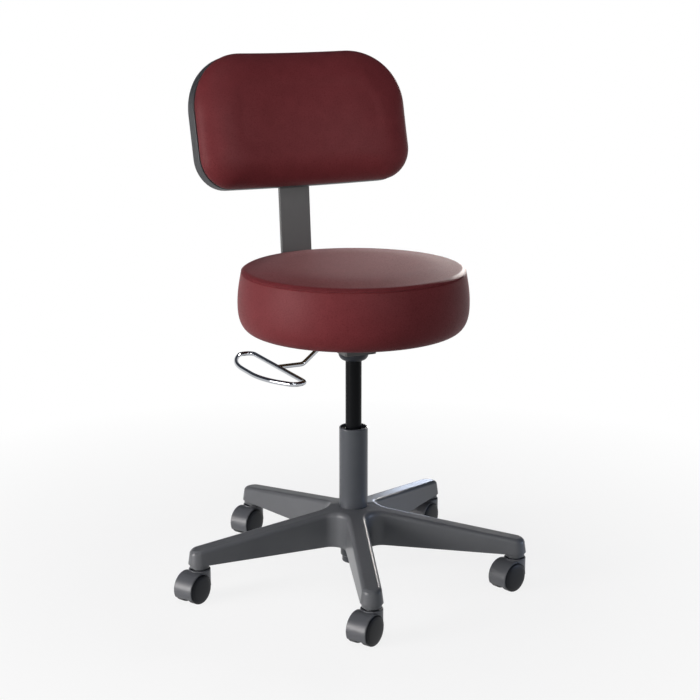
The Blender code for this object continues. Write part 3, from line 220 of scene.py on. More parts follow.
boss_z, hub_z = heights("base_star")
base_z = hub_z - HUB_HEIGHT
casters = range(1, 6)
swivels = [np.array(joints[f"caster_swivel_{number}"]["pos_m"]) * (1, 1, 0) for number in casters]
arm_reach = np.hypot(*(swivels[0] - column)[:2])
arm_turns = [math.atan2(*(swivel - column)[1::-1]) for swivel in swivels]
sector = math.pi / len(swivels)
fillet_along = (ARM_WIDTH / 2 + HUB_FILLET) / math.tan(sector)


def arm_top(along):
    """Height of an arm's top, which falls evenly from the column to the end of the tip."""
    fall = (HUB_HEIGHT - ARM_TIP_HEIGHT) / (arm_reach + ARM_WIDTH / 2 - TUBE_RADIUS)
    return hub_z - fall * (along - TUBE_RADIUS)


def cell_ends():
    """Where the cells under an arm begin and end, from the tip inwards to just before the fillet."""
    pitch = (arm_reach - BOSS_RADIUS - fillet_along + RIB_THICKNESS) / (RIB_COUNT + 1)
    starts = fillet_along + pitch * np.arange(RIB_COUNT + 1)
    return np.sort(np.concatenate([starts[1:], starts + pitch - RIB_THICKNESS]))[::-1]


TIP_POINTS = 13
BEND_POINTS = 13
side_points = len(cell_ends())


def half_arm(inset):
    """Half an arm's outline as rows of along and across, one row for each inset from the outer wall.

    A quarter circle round the tip, the straight side, and the hollow fillet up to the line midway to the
    next arm, whose circle grows as the outline draws in.
    """
    inset = np.asarray(inset)[:, None]
    tip = np.linspace(0, math.pi / 2, TIP_POINTS)
    bend = -np.linspace(math.pi / 2, math.pi - sector, BEND_POINTS)
    wide, hollow = ARM_WIDTH / 2 - inset, HUB_FILLET + inset
    side = np.broadcast_to(cell_ends(), (len(inset), side_points))
    along = [arm_reach + wide * np.cos(tip), side, fillet_along + hollow * np.cos(bend)]
    middle = ARM_WIDTH / 2 + HUB_FILLET
    across = [wide * np.sin(tip), np.broadcast_to(wide, side.shape), middle + hollow * np.sin(bend)]
    return np.hstack(along), np.hstack(across)


def skin(points, around=False, along=False, capped=False):
    """Quads over a grid of points: each joins its neighbours in the next column and the next row.

    The last column joins the first where the grid goes around, the last row joins the first where it goes
    along a ring, and the first and last rows are closed where it is capped.
    """
    rows, columns = points.shape[:2]
    index = np.arange(rows * columns).reshape(rows, columns)
    ends = [index[0], index[-1]] if capped else []
    index = np.hstack([index, index[:, :1]]) if around else index
    index = np.vstack([index, index[:1]]) if along else index
    quads = np.stack([index[:-1, :-1], index[:-1, 1:], index[1:, 1:], index[1:, :-1]], -1)
    return points.reshape(-1, 3), quads.reshape(-1, 4), ends


def placed(shape, place=(0, 0, 0), turn=Matrix.Identity(3)):
    """A skin with its points turned by a rotation about the origin and then moved to a place."""
    points, quads, ends = shape
    return points @ np.array(turn).T + np.asarray(place), quads, ends


def about(axis, angle):
    """The rotation by an angle about one of the axes."""
    return Matrix.Rotation(angle, 3, axis)


CREASE = math.radians(38)
WELD = 0.000005


def mesh_of(name, *skins):
    """One mesh from several skins, welded where their points meet, with its faces turned outwards."""
    starts = np.cumsum([0] + [len(points) for points, _, _ in skins])
    loops, sizes = [], []
    for (_, quads, ends), start in zip(skins, starts):
        loops += [(quads + start).ravel(), *(end + start for end in ends)]
        sizes += [4] * len(quads) + [len(end) for end in ends]
    loops, sizes = np.concatenate(loops), np.array(sizes)
    mesh = bpy.data.meshes.new(name)
    mesh.vertices.add(starts[-1])
    mesh.loops.add(len(loops))
    mesh.polygons.add(len(sizes))
    mesh.vertices.foreach_set("co", np.concatenate([points for points, _, _ in skins]).ravel())
    mesh.loops.foreach_set("vertex_index", loops)
    mesh.polygons.foreach_set("loop_start", np.cumsum(sizes) - sizes)
    mesh.update(calc_edges=True)
    welded = bmesh.new()
    welded.from_mesh(mesh)
    bmesh.ops.remove_doubles(welded, verts=welded.verts, dist=WELD)
    bmesh.ops.recalc_face_normals(welded, faces=welded.faces)
    if welded.calc_volume(signed=True) < 0:
        bmesh.ops.reverse_faces(welded, faces=welded.faces)
    welded.to_mesh(mesh)
    welded.free()
    return mesh


def fitted(name, mesh, finish, body, slot, *nodes):
    """The finished object: its mesh, smooth between creases, riding on a body in place of CAD nodes."""
    mesh.name = name
    mesh.materials.clear()
    mesh.materials.append(finish)
    mesh.shade_smooth()
    mesh.set_sharp_from_angle(angle=CREASE)
    piece = bpy.data.objects.new(name, mesh)
    bpy.context.scene.collection.objects.link(piece)
    even = piece.modifiers.new("even shading", "WEIGHTED_NORMAL")
    even.keep_sharp = True
    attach(piece, body)
    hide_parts(*nodes)
    return piece


def ring(corners, steps=72):
    """A closed outline of (radius, height) points carried round the vertical axis."""
    return lathe(np.asarray(corners), steps, True)


def lathe(outline, steps=72, closed=False):
    """An outline of (radius, height) points turned about the vertical axis through the origin."""
    turn = np.linspace(0, math.tau, steps, endpoint=False)[:, None]
    radius, rise = np.asarray(outline).T
    grid = [radius * np.cos(turn), radius * np.sin(turn), np.broadcast_to(rise, (steps, len(rise)))]
    return skin(np.stack(grid, -1), around=closed, along=True)


def rounded(corners, radii, steps=6):
    """A closed outline with each corner turned into an arc of its radius that touches both sides."""
    corner = np.asarray(corners, float)
    back, ahead = np.roll(corner, 1, 0) - corner, np.roll(corner, -1, 0) - corner
    back /= np.linalg.norm(back, axis=1)[:, None]
    ahead /= np.linalg.norm(ahead, axis=1)[:, None]
    half = np.arccos(np.clip((back * ahead).sum(1), -1, 1)) / 2
    reach = (np.asarray(radii) / np.tan(half))[:, None]
    inward = back + ahead
    inward /= np.linalg.norm(inward, axis=1)[:, None]
    centre = corner + inward * (np.asarray(radii) / np.sin(half))[:, None]
    sweep = (math.pi - 2 * half)[:, None]
    share = np.linspace(0, 1, steps + 1)
    first = (np.sin((1 - share) * sweep) / np.sin(sweep))[..., None]
    last = (np.sin(share * sweep) / np.sin(sweep))[..., None]
    start, end = corner + back * reach - centre, corner + ahead * reach - centre
    arcs = centre[:, None] + start[:, None] * first + end[:, None] * last
    return arcs.reshape(-1, corner.shape[1])


def star_skins():
    """The star's skins for one arm along +X: wall, top, hub and bore, underside and its open cells."""
    turn = np.linspace(0, math.pi / 2, 9)
    along, across = half_arm([0.0, *(ARM_DRAFT + ARM_EDGE * (1 - np.cos(turn)))])
    rise = arm_top(along) - ARM_EDGE * (1 - np.sin([0.0, *turn]))[:, None]
    rise[0] = base_z
    wall = np.stack([along, across, rise], -1)
    mirrored = wall[:, :0:-1] * (1, -1, 1)
    skins = [skin(np.hstack([mirrored, wall]))]

    root = TIP_POINTS + side_points
    inside = (ARM_WIDTH / 2 - BASE_WALL) / (ARM_WIDTH / 2)
    share = np.array([-1, -inside, -0.5, -0.25, 0, 0.25, 0.5, inside, 1])
    fan = np.stack([np.ones(len(share)), share, np.ones(len(share))], -1)
    top = wall[-1, : root + 1]
    skins.append(skin(top[:, None] * fan))

    rings = []
    for level in (-1, 0):
        bend = wall[level, root:]
        rings.append(np.vstack([bend[::-1] * (1, -1, 1), bend[0] * fan[1:-1], bend]))
    bearing = np.arctan2(rings[0][:, 1], rings[0][:, 0])
    spokes = np.stack([np.cos(bearing), np.sin(bearing), np.zeros_like(bearing)], -1)
    bore = TUBE_RADIUS + CLEARANCE
    levels = [(bore + HUB_LIP, hub_z), (bore + HUB_LIP / 4, hub_z - HUB_LIP / 4)]
    levels += [(bore, hub_z - HUB_LIP), (bore - HUB_HEIGHT * BORE_TAPER, base_z)]
    bores = [spokes * radius + (0, 0, z) for radius, z in levels]
    fall = np.linspace(0, 1, 7)[:-1, None, None]
    hub = np.concatenate([rings[0] * (1 - fall) + bores[0] * fall, bores, rings[1][None]])
    skins.append(skin(hub))

    under = wall[0, : root + 1]
    lanes = under[:, None] * np.stack([np.ones(4), (-1, -inside, inside, 1), np.ones(4)], -1)
    skins += [skin(lanes[:, :2]), skin(lanes[:, 2:]), skin(lanes[: TIP_POINTS + 1, 1:3])]
    ribs = range(TIP_POINTS + 1, root, 2)
    skins += [skin(lanes[row : row + 2, 1:3]) for row in ribs]
    narrow = 1 - (ARM_DRAFT + ARM_EDGE / 2) / (ARM_WIDTH / 2 - BASE_WALL)
    for row in range(TIP_POINTS, root, 2):
        inner_end = lanes[row + 1, 2:0:-1] if row + 1 < root else under[root] * fan[-2:0:-1]
        mouth = np.vstack([lanes[row, 1:3], inner_end])
        roof = mouth * (1, narrow, 0)
        roof[:, 2] = arm_top(roof[:, 0]) - BASE_ROOF
        points, quads, ends = skin(np.stack([mouth, roof]), around=True, capped=True)
        skins.append((points, quads, ends[1:]))

    boss = [(STEM_RADIUS, boss_z), (BOSS_RADIUS, boss_z)]
    boss += [(BOSS_RADIUS, base_z + BASE_WALL), (STEM_RADIUS, base_z + BASE_WALL)]
    skins.append(placed(ring(rounded(boss, [BOSS_EDGE / 2, BOSS_EDGE, 0, 0])), (arm_reach, 0, 0)))
    return skins


def new_finish(name, **sockets):
    """A new material with its shader's sockets set, its nodes, its shader and its Object coordinates."""
    made = bpy.data.materials.new(name)
    made.use_nodes = True
    shader = made.node_tree.nodes["Principled BSDF"]
    for socket, value in sockets.items():
        shader.inputs[socket.replace("_", " ")].default_value = value
    return made, made.node_tree, shader, add(made.node_tree, "TexCoord").outputs["Object"]


def moulded(name, shades, roughness, grain_mm, depth_mm, patch_mm=70.0, gloss_spread=0.06, **sockets):
    """Moulded plastic: an even grain from the mould under broad, faint patches of shade and gloss."""
    made, tree, shader, place = new_finish(name, **sockets)
    fine = {"Scale": 1000 / grain_mm, "Detail": 2.0, "Roughness": 0.55}
    grain = add(tree, "TexNoise", fine, {"Vector": place})
    broad = {"Scale": 1000 / patch_mm, "Detail": 3.0, "Roughness": 0.6}
    patch = add(tree, "TexNoise", broad, {"Vector": place})
    pair = {"data_type": "RGBA", 6: linear(shades[0]), 7: linear(shades[1])}
    shade = add(tree, "Mix", pair, {0: patch.outputs[0]})
    spread = {"To Min": roughness - gloss_spread, "To Max": roughness + gloss_spread}
    gloss = add(tree, "MapRange", spread, {"Value": patch.outputs[0]})
    bump = add(tree, "Bump", {"Distance": depth_mm / 1000}, {"Height": grain.outputs[0]})
    tree.links.new(shade.outputs[2], shader.inputs["Base Color"])
    tree.links.new(gloss.outputs[0], shader.inputs["Roughness"])
    tree.links.new(bump.outputs[0], shader.inputs["Normal"])
    return made


# Glass-filled nylon from a spark-eroded mould: charcoal with a soft satin sheen. Its 0.2 mm grain is drawn
# at 1.2 mm so that it shows.
star_nylon = moulded(
    "glass-filled nylon",
    ("5C5E61", "65676A"),
    roughness=0.30,
    grain_mm=1.2,
    depth_mm=0.006,
    gloss_spread=0.02,
    Specular_IOR_Level=0.3,
)
star = [placed(shape, column, about("Z", turn)) for turn in arm_turns for shape in star_skins()]
fitted("star_base_moulding", mesh_of("star", *star), star_nylon, "base", "base_nylon", "base_star")

# Caster stems. Turned steel pins, zinc plated, driven into the arm tips; the flange carries the load and
# shows as a thin dark line between the boss and the hood.

STEM_PIN = 0.003
STEM_FLANGE = 0.012
STEM_FLANGE_HEIGHT = 0.0038
STEM_POINT = 0.0018
STEM_FIT = 0.0001


def brushed_metal(name, colour, roughness, lines_mm, depth_mm, stretch=(1, 1, 12)):
    """Metal with fine lines left by turning or drawing, which spread its highlights a little."""
    made, tree, shader, place = new_finish(name, Base_Color=linear(colour), Metallic=1.0)
    laid = add(tree, "Mapping", {"Scale": stretch}, {"Vector": place})
    fine = {"Scale": 1000 / lines_mm, "Detail": 2.0}
    lines = add(tree, "TexNoise", fine, {"Vector": laid.outputs[0]})
    spread = {"To Min": roughness * 0.8, "To Max": roughness * 1.25}
    gloss = add(tree, "MapRange", spread, {"Value": lines.outputs[0]})
    bump = add(tree, "Bump", {"Distance": depth_mm / 1000}, {"Height": lines.outputs[0]})
    tree.links.new(gloss.outputs[0], shader.inputs["Roughness"])
    tree.links.new(bump.outputs[0], shader.inputs["Normal"])
    return made


# Zinc plate over turned steel: a grey mirror dulled by passivation. The turning lines are drawn at 1 mm.
zinc = brushed_metal("zinc-plated steel", "A9ABAD", roughness=0.34, lines_mm=1.0, depth_mm=0.006)

for number, swivel in enumerate(swivels, start=1):
    node = f"caster_stem_{number}"
    low, high = heights(node)
    flange_top, shank = boss_z - CLEARANCE, STEM_RADIUS - STEM_FIT
    flange_low = flange_top - STEM_FLANGE_HEIGHT
    outline = [(0, low), (STEM_PIN, low), (STEM_PIN, flange_low)]
    outline += [(STEM_FLANGE, flange_low), (STEM_FLANGE, flange_top)]
    outline += [(shank, flange_top), (shank, high - STEM_POINT)]
    outline += [(STEM_RADIUS - STEM_POINT, high), (0, high)]
    stem = mesh_of("stem", placed(lathe(outline, steps=40), swivel))
    fitted(f"turned_stem_{number}", stem, zinc, "base", "zinc_plate", node)

# Caster hoods. Semi-gloss nylon mouldings, each a drum over the two wheels with a web between them for the
# axle and a cupped collar that turns under the stem's flange. The lower edge slopes up from nose to heel.

HOOD_WIDTH = 0.0384
HOOD_WALL = 0.0014
HOOD_EDGE = 0.0016
HOOD_NOSE_LIFT = 0.012
HOOD_HEEL_LIFT = 0.028
WHEEL_RADIUS = 0.0257
WHEEL_GAP = 0.0009
CASTER_WEB = 0.009
COLLAR_RADIUS = 0.019
COLLAR_RISE = 0.0016
CUP_DEPTH = 0.002
CUP_RADIUS = 0.017
PAST = 0.01

axles = [np.array(joints[f"caster_roll_{number}_left"]["pos_m"]) for number in casters]
headings = [math.atan2(*(axle - swivel)[1::-1]) for axle, swivel in zip(axles, swivels)]
trail = np.hypot(*(axles[0] - swivels[0])[:2])
axle_z = axles[0][2]


def combined(body, operation, *skins):
    """The mesh left when solids, given as skins, are joined to a solid body or cut from it."""
    made = bpy.data.objects.new("body", body)
    other = bpy.data.objects.new("tool", mesh_of("tool", *skins))
    for item in (made, other):
        bpy.context.scene.collection.objects.link(item)
    step = made.modifiers.new("step", "BOOLEAN")
    step.operation, step.object, step.solver = operation, other, "EXACT"
    result = bpy.data.meshes.new_from_object(made.evaluated_get(bpy.context.evaluated_depsgraph_get()))
    bpy.data.objects.remove(made)
    bpy.data.objects.remove(other)
    return result


def hood_mesh():
    """A drum on the axle and a neck about the stem, less the wheel pockets, the cup and the sloped foot."""
    radius, half = WHEEL_RADIUS + WHEEL_GAP + HOOD_WALL, HOOD_WIDTH / 2
    on_axle = {"place": (trail, 0, axle_z), "turn": about("X", math.pi / 2)}
    drum = rounded([(0, -half), (radius, -half), (radius, half), (0, half)], [0, HOOD_EDGE, HOOD_EDGE, 0])
    collar_z = axle_z + radius + COLLAR_RISE
    neck = [(0, axle_z), (COLLAR_RADIUS, axle_z), (COLLAR_RADIUS, collar_z), (0, collar_z)]
    body = mesh_of("drum", placed(lathe(drum, steps=96), **on_axle))
    neck = lathe(rounded(neck, [0, 0, HOOD_EDGE, 0]), steps=80)
    body = combined(body, "UNION", neck)
    pocket = WHEEL_RADIUS + WHEEL_GAP
    for near, far in ((CASTER_WEB / 2, half + PAST), (-CASTER_WEB / 2, -half - PAST)):
        tool = lathe([(0, near), (pocket, near), (pocket, far), (0, far)], steps=90)
        body = combined(body, "DIFFERENCE", placed(tool, **on_axle))
    cup = [(0, collar_z - CUP_DEPTH), (CUP_RADIUS, collar_z - CUP_DEPTH)]
    cup += [(CUP_RADIUS, collar_z + PAST), (0, collar_z + PAST)]
    body = combined(body, "DIFFERENCE", lathe(cup, steps=70))
    nose, heel = trail + radius, -COLLAR_RADIUS
    slope = (HOOD_HEEL_LIFT - HOOD_NOSE_LIFT) / (heel - nose)
    x = np.array([heel - PAST, nose + PAST, nose + PAST, heel - PAST])
    z = np.array([-PAST, -PAST, *(HOOD_NOSE_LIFT + slope * (x[2:] - nose))])
    sides = [np.stack([x, np.full(4, y), z], -1) for y in (-half - PAST, half + PAST)]
    wedge = skin(np.stack(sides), around=True, capped=True)
    return combined(body, "DIFFERENCE", wedge)


# Nylon from a polished mould: slate grey that throws a broad soft highlight. Its faint ripple is drawn
# at 4 mm.
hood_shades = ("505256", "5A5C60")
hood_nylon = moulded("semi-gloss nylon", hood_shades, roughness=0.40, grain_mm=4.0, depth_mm=0.008)
hood = hood_mesh()
for number, (swivel, turn) in enumerate(zip(swivels, headings), start=1):
    mesh = hood.copy()
    mesh.transform(Matrix.Translation(swivel) @ Matrix.Rotation(turn, 4, "Z"))
    body, node = f"caster_{number}", f"caster_hood_{number}"
    fitted(f"hood_moulding_{number}", mesh, hood_nylon, body, "hood_nylon", node)

# Caster axles. Ground steel pins pressed through the hood's web, with a wheel free on each end. The wheels
# hide them, so they stay as the CAD model has them.


def dressed(finish, *nodes):
    """Gives CAD nodes that stay as they are their finish."""
    for node in nodes:
        frame["nodes"][node].material_slots[0].material = finish


# Ground steel: bright, with fine lines round the rod, drawn at 0.8 mm.
ground = brushed_metal("ground steel", "B4B5B7", roughness=0.22, lines_mm=0.8, depth_mm=0.004)
dressed(ground, *(f"caster_axle_{number}" for number in casters))

# Wheels. Hard black nylon mouldings, two to a caster: discs with a rounded tread and a domed outer face,
# each bored from inside to run on the end of the axle.

WHEEL_TREAD = 0.0165
WHEEL_EDGE = 0.0036
WHEEL_DOME = 0.0020
WHEEL_BORE = 0.0034
WHEEL_BORE_DEPTH = 0.0103
RUNNING_GAP = 0.0004
EDGE_STEPS = 8


def wheel_outline():
    """Bore, inner face, tread with rounded edges, and an outer face that rises as a quarter ellipse."""
    inner = CASTER_WEB / 2 + RUNNING_GAP
    outer = inner + WHEEL_TREAD
    end = inner + WHEEL_BORE_DEPTH
    corners = [(0, end), (WHEEL_BORE, end), (WHEEL_BORE, inner), (WHEEL_RADIUS, inner)]
    corners += [(WHEEL_RADIUS, outer), (0, outer)]
    walls = rounded(corners, [0, 0, 0, WHEEL_EDGE, WHEEL_EDGE, 0], EDGE_STEPS)[: -EDGE_STEPS - 1]
    turn = np.linspace(0, math.pi / 2, 16)
    face = WHEEL_RADIUS - WHEEL_EDGE
    dome = np.stack([face * np.cos(turn), outer + WHEEL_DOME * np.sin(turn)], -1)
    return np.vstack([walls, dome])


# Nylon with a satin bloom: nearly black, with a cool sheen across the dome. Its grain is drawn at 1.5 mm.
wheel_nylon = moulded(
    "black nylon",
    ("101216", "16181D"),
    roughness=0.40,
    grain_mm=1.5,
    depth_mm=0.006,
    Specular_IOR_Level=0.18,
)
wheel = lathe(wheel_outline(), steps=96)
for number, (swivel, axle, turn) in enumerate(zip(swivels, axles, headings), start=1):
    for side, tip in (("left", -math.pi / 2), ("right", math.pi / 2)):
        mesh = mesh_of("wheel", placed(wheel, axle, about("Z", turn) @ about("X", tip)))
        body, node = f"wheel_{number}_{side}", f"caster_wheel_{number}_{side}"
        fitted(f"wheel_moulding_{number}_{side}", mesh, wheel_nylon, body, "wheel_nylon", node)

# Column tube. Drawn steel in grey enamel, wedged in the hub by its taper, with a rolled rim and a stepped
# foot whose floor carries the lift.

TUBE_WALL = 0.002
TUBE_RIM = 0.0025
TUBE_TAPER = math.tan(math.radians(1.43))
TUBE_FOOT = 0.0205
TUBE_FOOT_HEIGHT = 0.011
TUBE_FLOOR = 0.003
TUBE_FOOT_EDGE = 0.0018
TUBE_STEP_EDGE = 0.0008
TUBE_LIP_EDGE = 0.0004
RIM_FULLNESS = 0.96
ROD_HOLE = 0.004

tube_low, tube_high = heights("column_tube")


def tube_outline():
    """The tube's wall: up the stepped foot, taper and shank, over the rolled rim and down inside."""
    foot_z = tube_low + TUBE_FOOT_HEIGHT
    waist = TUBE_RADIUS - (hub_z - foot_z) * TUBE_TAPER
    under_rim = tube_high - TUBE_RIM
    walls = [
        (ROD_HOLE, tube_low, 0),
        (TUBE_FOOT, tube_low, TUBE_FOOT_EDGE),
        (TUBE_FOOT, foot_z, TUBE_STEP_EDGE),
        (waist, foot_z + TUBE_WALL, TUBE_STEP_EDGE),
        (TUBE_RADIUS, hub_z, 0),
        (TUBE_RADIUS, tube_high, TUBE_RIM * RIM_FULLNESS),
        (TUBE_RADIUS - TUBE_RIM, tube_high, TUBE_LIP_EDGE),
        (TUBE_RADIUS - TUBE_RIM, under_rim, 0),
        (TUBE_RADIUS - TUBE_WALL, under_rim, 0),
        (TUBE_RADIUS - TUBE_WALL, hub_z, 0),
        (waist - TUBE_WALL, foot_z + TUBE_WALL, 0),
        (TUBE_FOOT - TUBE_WALL, foot_z, 0),
        (TUBE_FOOT - TUBE_WALL, tube_low + TUBE_FLOOR, 0),
        (ROD_HOLE, tube_low + TUBE_FLOOR, 0),
    ]
    return rounded([wall[:2] for wall in walls], [wall[2] for wall in walls])


def enamelled(name, shades, roughness, peel_mm, depth_mm, specular):
    """Paint on steel: a smooth film with a slight orange peel."""
    film = {"patch_mm": 45.0, "gloss_spread": 0.02, "Specular_IOR_Level": specular}
    return moulded(name, shades, roughness, peel_mm, depth_mm, **film)


# Satin stoving enamel: mid grey with long soft highlights down the tube. Its peel is drawn at 3 mm.
grey_enamel = enamelled(
    "grey stoving enamel",
    ("45484D", "4E5156"),
    roughness=0.30,
    peel_mm=3.0,
    depth_mm=0.003,
    specular=0.3,
)
tube = mesh_of("tube", placed(ring(tube_outline(), steps=96), column))
fitted("drawn_tube", tube, grey_enamel, "base", "tube_paint", "column_tube")

# Guide bush. A turned sleeve of black acetal, pressed into the top of the tube, in which the cylinder
# slides and turns.

BUSH_INNER = 0.01465
BUSH_OUTER = 0.0232
BUSH_EDGE = 0.0008

bush_low, bush_high = heights("guide_bush")
corners = [(BUSH_INNER, bush_low), (BUSH_OUTER, bush_low)]
corners += [(BUSH_OUTER, bush_high), (BUSH_INNER, bush_high)]
# Turned acetal: black with a waxy sheen and faint tool marks, drawn at 1 mm.
acetal = moulded("black acetal", ("17181A", "1E1F21"), roughness=0.40, grain_mm=1.0, depth_mm=0.008)
bush = mesh_of("bush", placed(ring(rounded(corners, [BUSH_EDGE] * 4)), column))
fitted("turned_guide_bush", bush, acetal, "base", "acetal", "guide_bush")

# Inner lift. The thrust bearing stands on the tube's floor under the rod's shoulder, and a spring clip
# below the floor keeps the rod in. All of it is out of sight, apart from the clip and the rod's foot.

# Turned bearing steel, a little darker than the ground rod; the spring clip is oiled and nearly black.
bearing_steel = brushed_metal("bearing steel", "9C9EA0", roughness=0.30, lines_mm=0.8, depth_mm=0.004)
spring_steel = brushed_metal("oiled spring steel", "5C5D60", roughness=0.38, lines_mm=0.8, depth_mm=0.004)
dressed(bearing_steel, "thrust_bearing", "valve_button")
dressed(ground, "piston_rod")
dressed(spring_steel, "retaining_clip")

# Gas cylinder. A seamless pressure tube in black enamel with a gland at the bottom, a taper at the top that
# wedges in the socket, and the valve button in its end.

CYLINDER_RADIUS = 0.01425
CYLINDER_BORE = 0.011
CYLINDER_GLAND = 0.018
CYLINDER_CONE = 0.031
VALVE_BLOCK = 0.034
VALVE_RADIUS = 0.0044
VALVE_DEPTH = 0.010
ROD_RADIUS = 0.0054

cylinder_low, cylinder_high = heights("gas_cylinder")


def cylinder_outline():
    """The bore round the piston, the gland round the rod, the outer wall, the cone and the valve hole."""
    cone_z = cylinder_high - CYLINDER_CONE
    bore_end = cone_z - VALVE_BLOCK
    gland_z = cylinder_low + CYLINDER_GLAND
    tip = CYLINDER_RADIUS - CYLINDER_CONE * TUBE_TAPER
    inside = [(0, bore_end), (CYLINDER_BORE, bore_end)]
    inside += [(CYLINDER_BORE, gland_z), (ROD_RADIUS, gland_z)]
    outside = [(ROD_RADIUS, cylinder_low), (CYLINDER_RADIUS, cylinder_low)]
    outside += [(CYLINDER_RADIUS, cone_z)]
    valve = [(tip, cylinder_high), (VALVE_RADIUS, cylinder_high)]
    valve += [(VALVE_RADIUS, cylinder_high - VALVE_DEPTH), (0, cylinder_high - VALVE_DEPTH)]
    return inside + outside + valve


# Gloss black enamel: deep and smooth, so it is read only by its edges and one thin highlight.
black_enamel = enamelled(
    "black gloss enamel",
    ("0E0F11", "131416"),
    roughness=0.30,
    peel_mm=3.0,
    depth_mm=0.003,
    specular=0.06,
)
cylinder = mesh_of("cylinder", placed(lathe(cylinder_outline(), steps=80), column))
fitted("enamelled_cylinder", cylinder, black_enamel, "seat", "black_paint", "gas_cylinder")

# Cylinder socket. A turned steel bowl under the bar with a tapered bore that wedges on the cylinder, its
# neck through the bar and the channel, in the same slate powder coat as the channel.

SOCKET_BOWL = 0.027
SOCKET_BOWL_HEIGHT = 0.014
SOCKET_NECK = 0.018
SOCKET_BORE = 0.01455
SOCKET_LIP = 0.0012

socket_low, socket_high = heights("cylinder_socket")


def socket_outline():
    """A quarter-ellipse bowl from the thin lip to the bar, then the neck, with the tapered bore inside."""
    turn = np.linspace(0, math.pi / 2, 16)
    bowl_top = socket_low + SOCKET_BOWL_HEIGHT
    lip = SOCKET_BORE + SOCKET_LIP
    bowl = [lip + (SOCKET_BOWL - lip) * np.sin(turn), bowl_top - SOCKET_BOWL_HEIGHT * np.cos(turn)]
    narrow = SOCKET_BORE - (socket_high - socket_low) * TUBE_TAPER
    neck = [(SOCKET_NECK, bowl_top), (SOCKET_NECK, socket_high), (narrow, socket_high)]
    return np.vstack([[(SOCKET_BORE, socket_low)], np.stack(bowl, -1), neck])


# Fine powder coat: slate with a soft, slightly pebbled sheen. Its texture is drawn at 1.5 mm.
frame_coat = enamelled(
    "slate powder coat",
    ("23272D", "2B2F36"),
    roughness=0.40,
    peel_mm=1.5,
    depth_mm=0.012,
    specular=0.25,
)
socket = mesh_of("socket", placed(ring(socket_outline(), steps=96), column))
fitted("turned_socket", socket, frame_coat, "seat", "frame_paint", "cylinder_socket")

# Back bar. Flat mild steel, 60 by 8 mm, bent up behind the seat and eased back along the shell, its ends
# rounded off, drilled for the socket and bolts, in grey powder coat.

BAR_WIDTH = 0.060
BAR_THICKNESS = 0.008
BAR_CORNER = 0.004
BAR_EDGE = 0.001
BAR_FRONT = 0.031
BAR_BACK = 0.2413
BAR_LEAN = math.tan(math.radians(4.4))
BAR_BEND = 0.045
BAR_UPPER_BEND = 0.120
BAR_ON_SHELL = 0.085
BACK_ABOVE_SEAT = 0.2270
BACK_BEHIND = 0.2472
BACK_RECLINE = math.radians(14.8)
BACK_CURVE = 0.98
SHELL_DOME = 0.018
BOLT_RADIUS = 0.003
BOLT_HEAD = 0.004
BACK_BOLT_SPACING = 0.060
BACK_BOARD_FRONT = 0.012
BEND_STEPS = 16
CORNER_POINTS = 7
EDGE_POINTS = 5

seat_low, seat_high = heights("seat_cushion")
bar_z, _ = heights("back_bar")
back_z = seat_high + BACK_ABOVE_SEAT


def on_back(s, h, n):
    """Points of the back support: s sideways round its curve, h up its face and n forward of its rim."""
    s, h, n = np.broadcast_arrays(s, h, n)
    x = (BACK_CURVE - n) * np.sin(s / BACK_CURVE)
    forward = BACK_CURVE - (BACK_CURVE - n) * np.cos(s / BACK_CURVE)
    y = BACK_BEHIND + h * math.sin(BACK_RECLINE) - forward * math.cos(BACK_RECLINE)
    z = back_z + h * math.cos(BACK_RECLINE) + forward * math.sin(BACK_RECLINE)
    return np.stack([x, y, z], -1)


def bar_path():
    """The bar's centre line as (y, z): level under the seat, up behind it, then along the shell."""
    middle = bar_z + BAR_THICKNESS / 2
    recline = math.tan(BACK_RECLINE)
    lie = -SHELL_DOME - CLEARANCE - BAR_THICKNESS / 2
    shell_y, shell_z = on_back(0, 0, lie)[1:]
    corner_y = BAR_BACK - (seat_high - middle) * BAR_LEAN
    rise = (shell_y - recline * (shell_z - middle) - corner_y) / (BAR_LEAN - recline)
    corners = [(-BAR_FRONT, middle), (corner_y, middle), (corner_y + rise * BAR_LEAN, middle + rise)]
    corners.append(on_back(0, BAR_ON_SHELL, lie)[1:])
    return rounded(corners, [0, BAR_BEND, BAR_UPPER_BEND, 0], BEND_STEPS)[BEND_STEPS:-BEND_STEPS]


def bar_skin():
    """A flat section with rounded edges carried along the path, narrowing over the corners at its ends."""
    path = bar_path()
    turn = np.linspace(0, math.pi / 2, CORNER_POINTS)
    reach, inset = BAR_CORNER * (1 - np.cos(turn)), BAR_CORNER * (1 - np.sin(turn))
    ends = [path[1] - path[0], path[-2] - path[-1]]
    ends = [end / np.linalg.norm(end) for end in ends]
    first = path[0] + ends[0] * reach[:, None]
    last = path[-1] + ends[1] * reach[::-1, None]
    line = np.vstack([first, path[1:-1], last])
    wide = BAR_WIDTH / 2 - np.concatenate([inset, np.zeros(len(path) - 2), inset[::-1]])
    ahead = np.gradient(line, axis=0)
    ahead[:CORNER_POINTS], ahead[-CORNER_POINTS:] = ends[0], -ends[1]
    ahead /= np.linalg.norm(ahead, axis=1)[:, None]
    normal = np.stack([-ahead[:, 1], ahead[:, 0]], -1)
    corner = np.repeat([(1, 1), (-1, 1), (-1, -1), (1, -1)], EDGE_POINTS, axis=0)
    bend = (np.arange(4)[:, None] * math.pi / 2 + np.linspace(0, math.pi / 2, EDGE_POINTS)).ravel()
    x = corner[:, 0] * (wide[:, None] - BAR_EDGE) + BAR_EDGE * np.cos(bend)
    up = corner[:, 1] * (BAR_THICKNESS / 2 - BAR_EDGE) + BAR_EDGE * np.sin(bend)
    yz = line[:, None] + normal[:, None] * up[:, None]
    return skin(np.concatenate([x[..., None], yz], -1), around=True, capped=True)


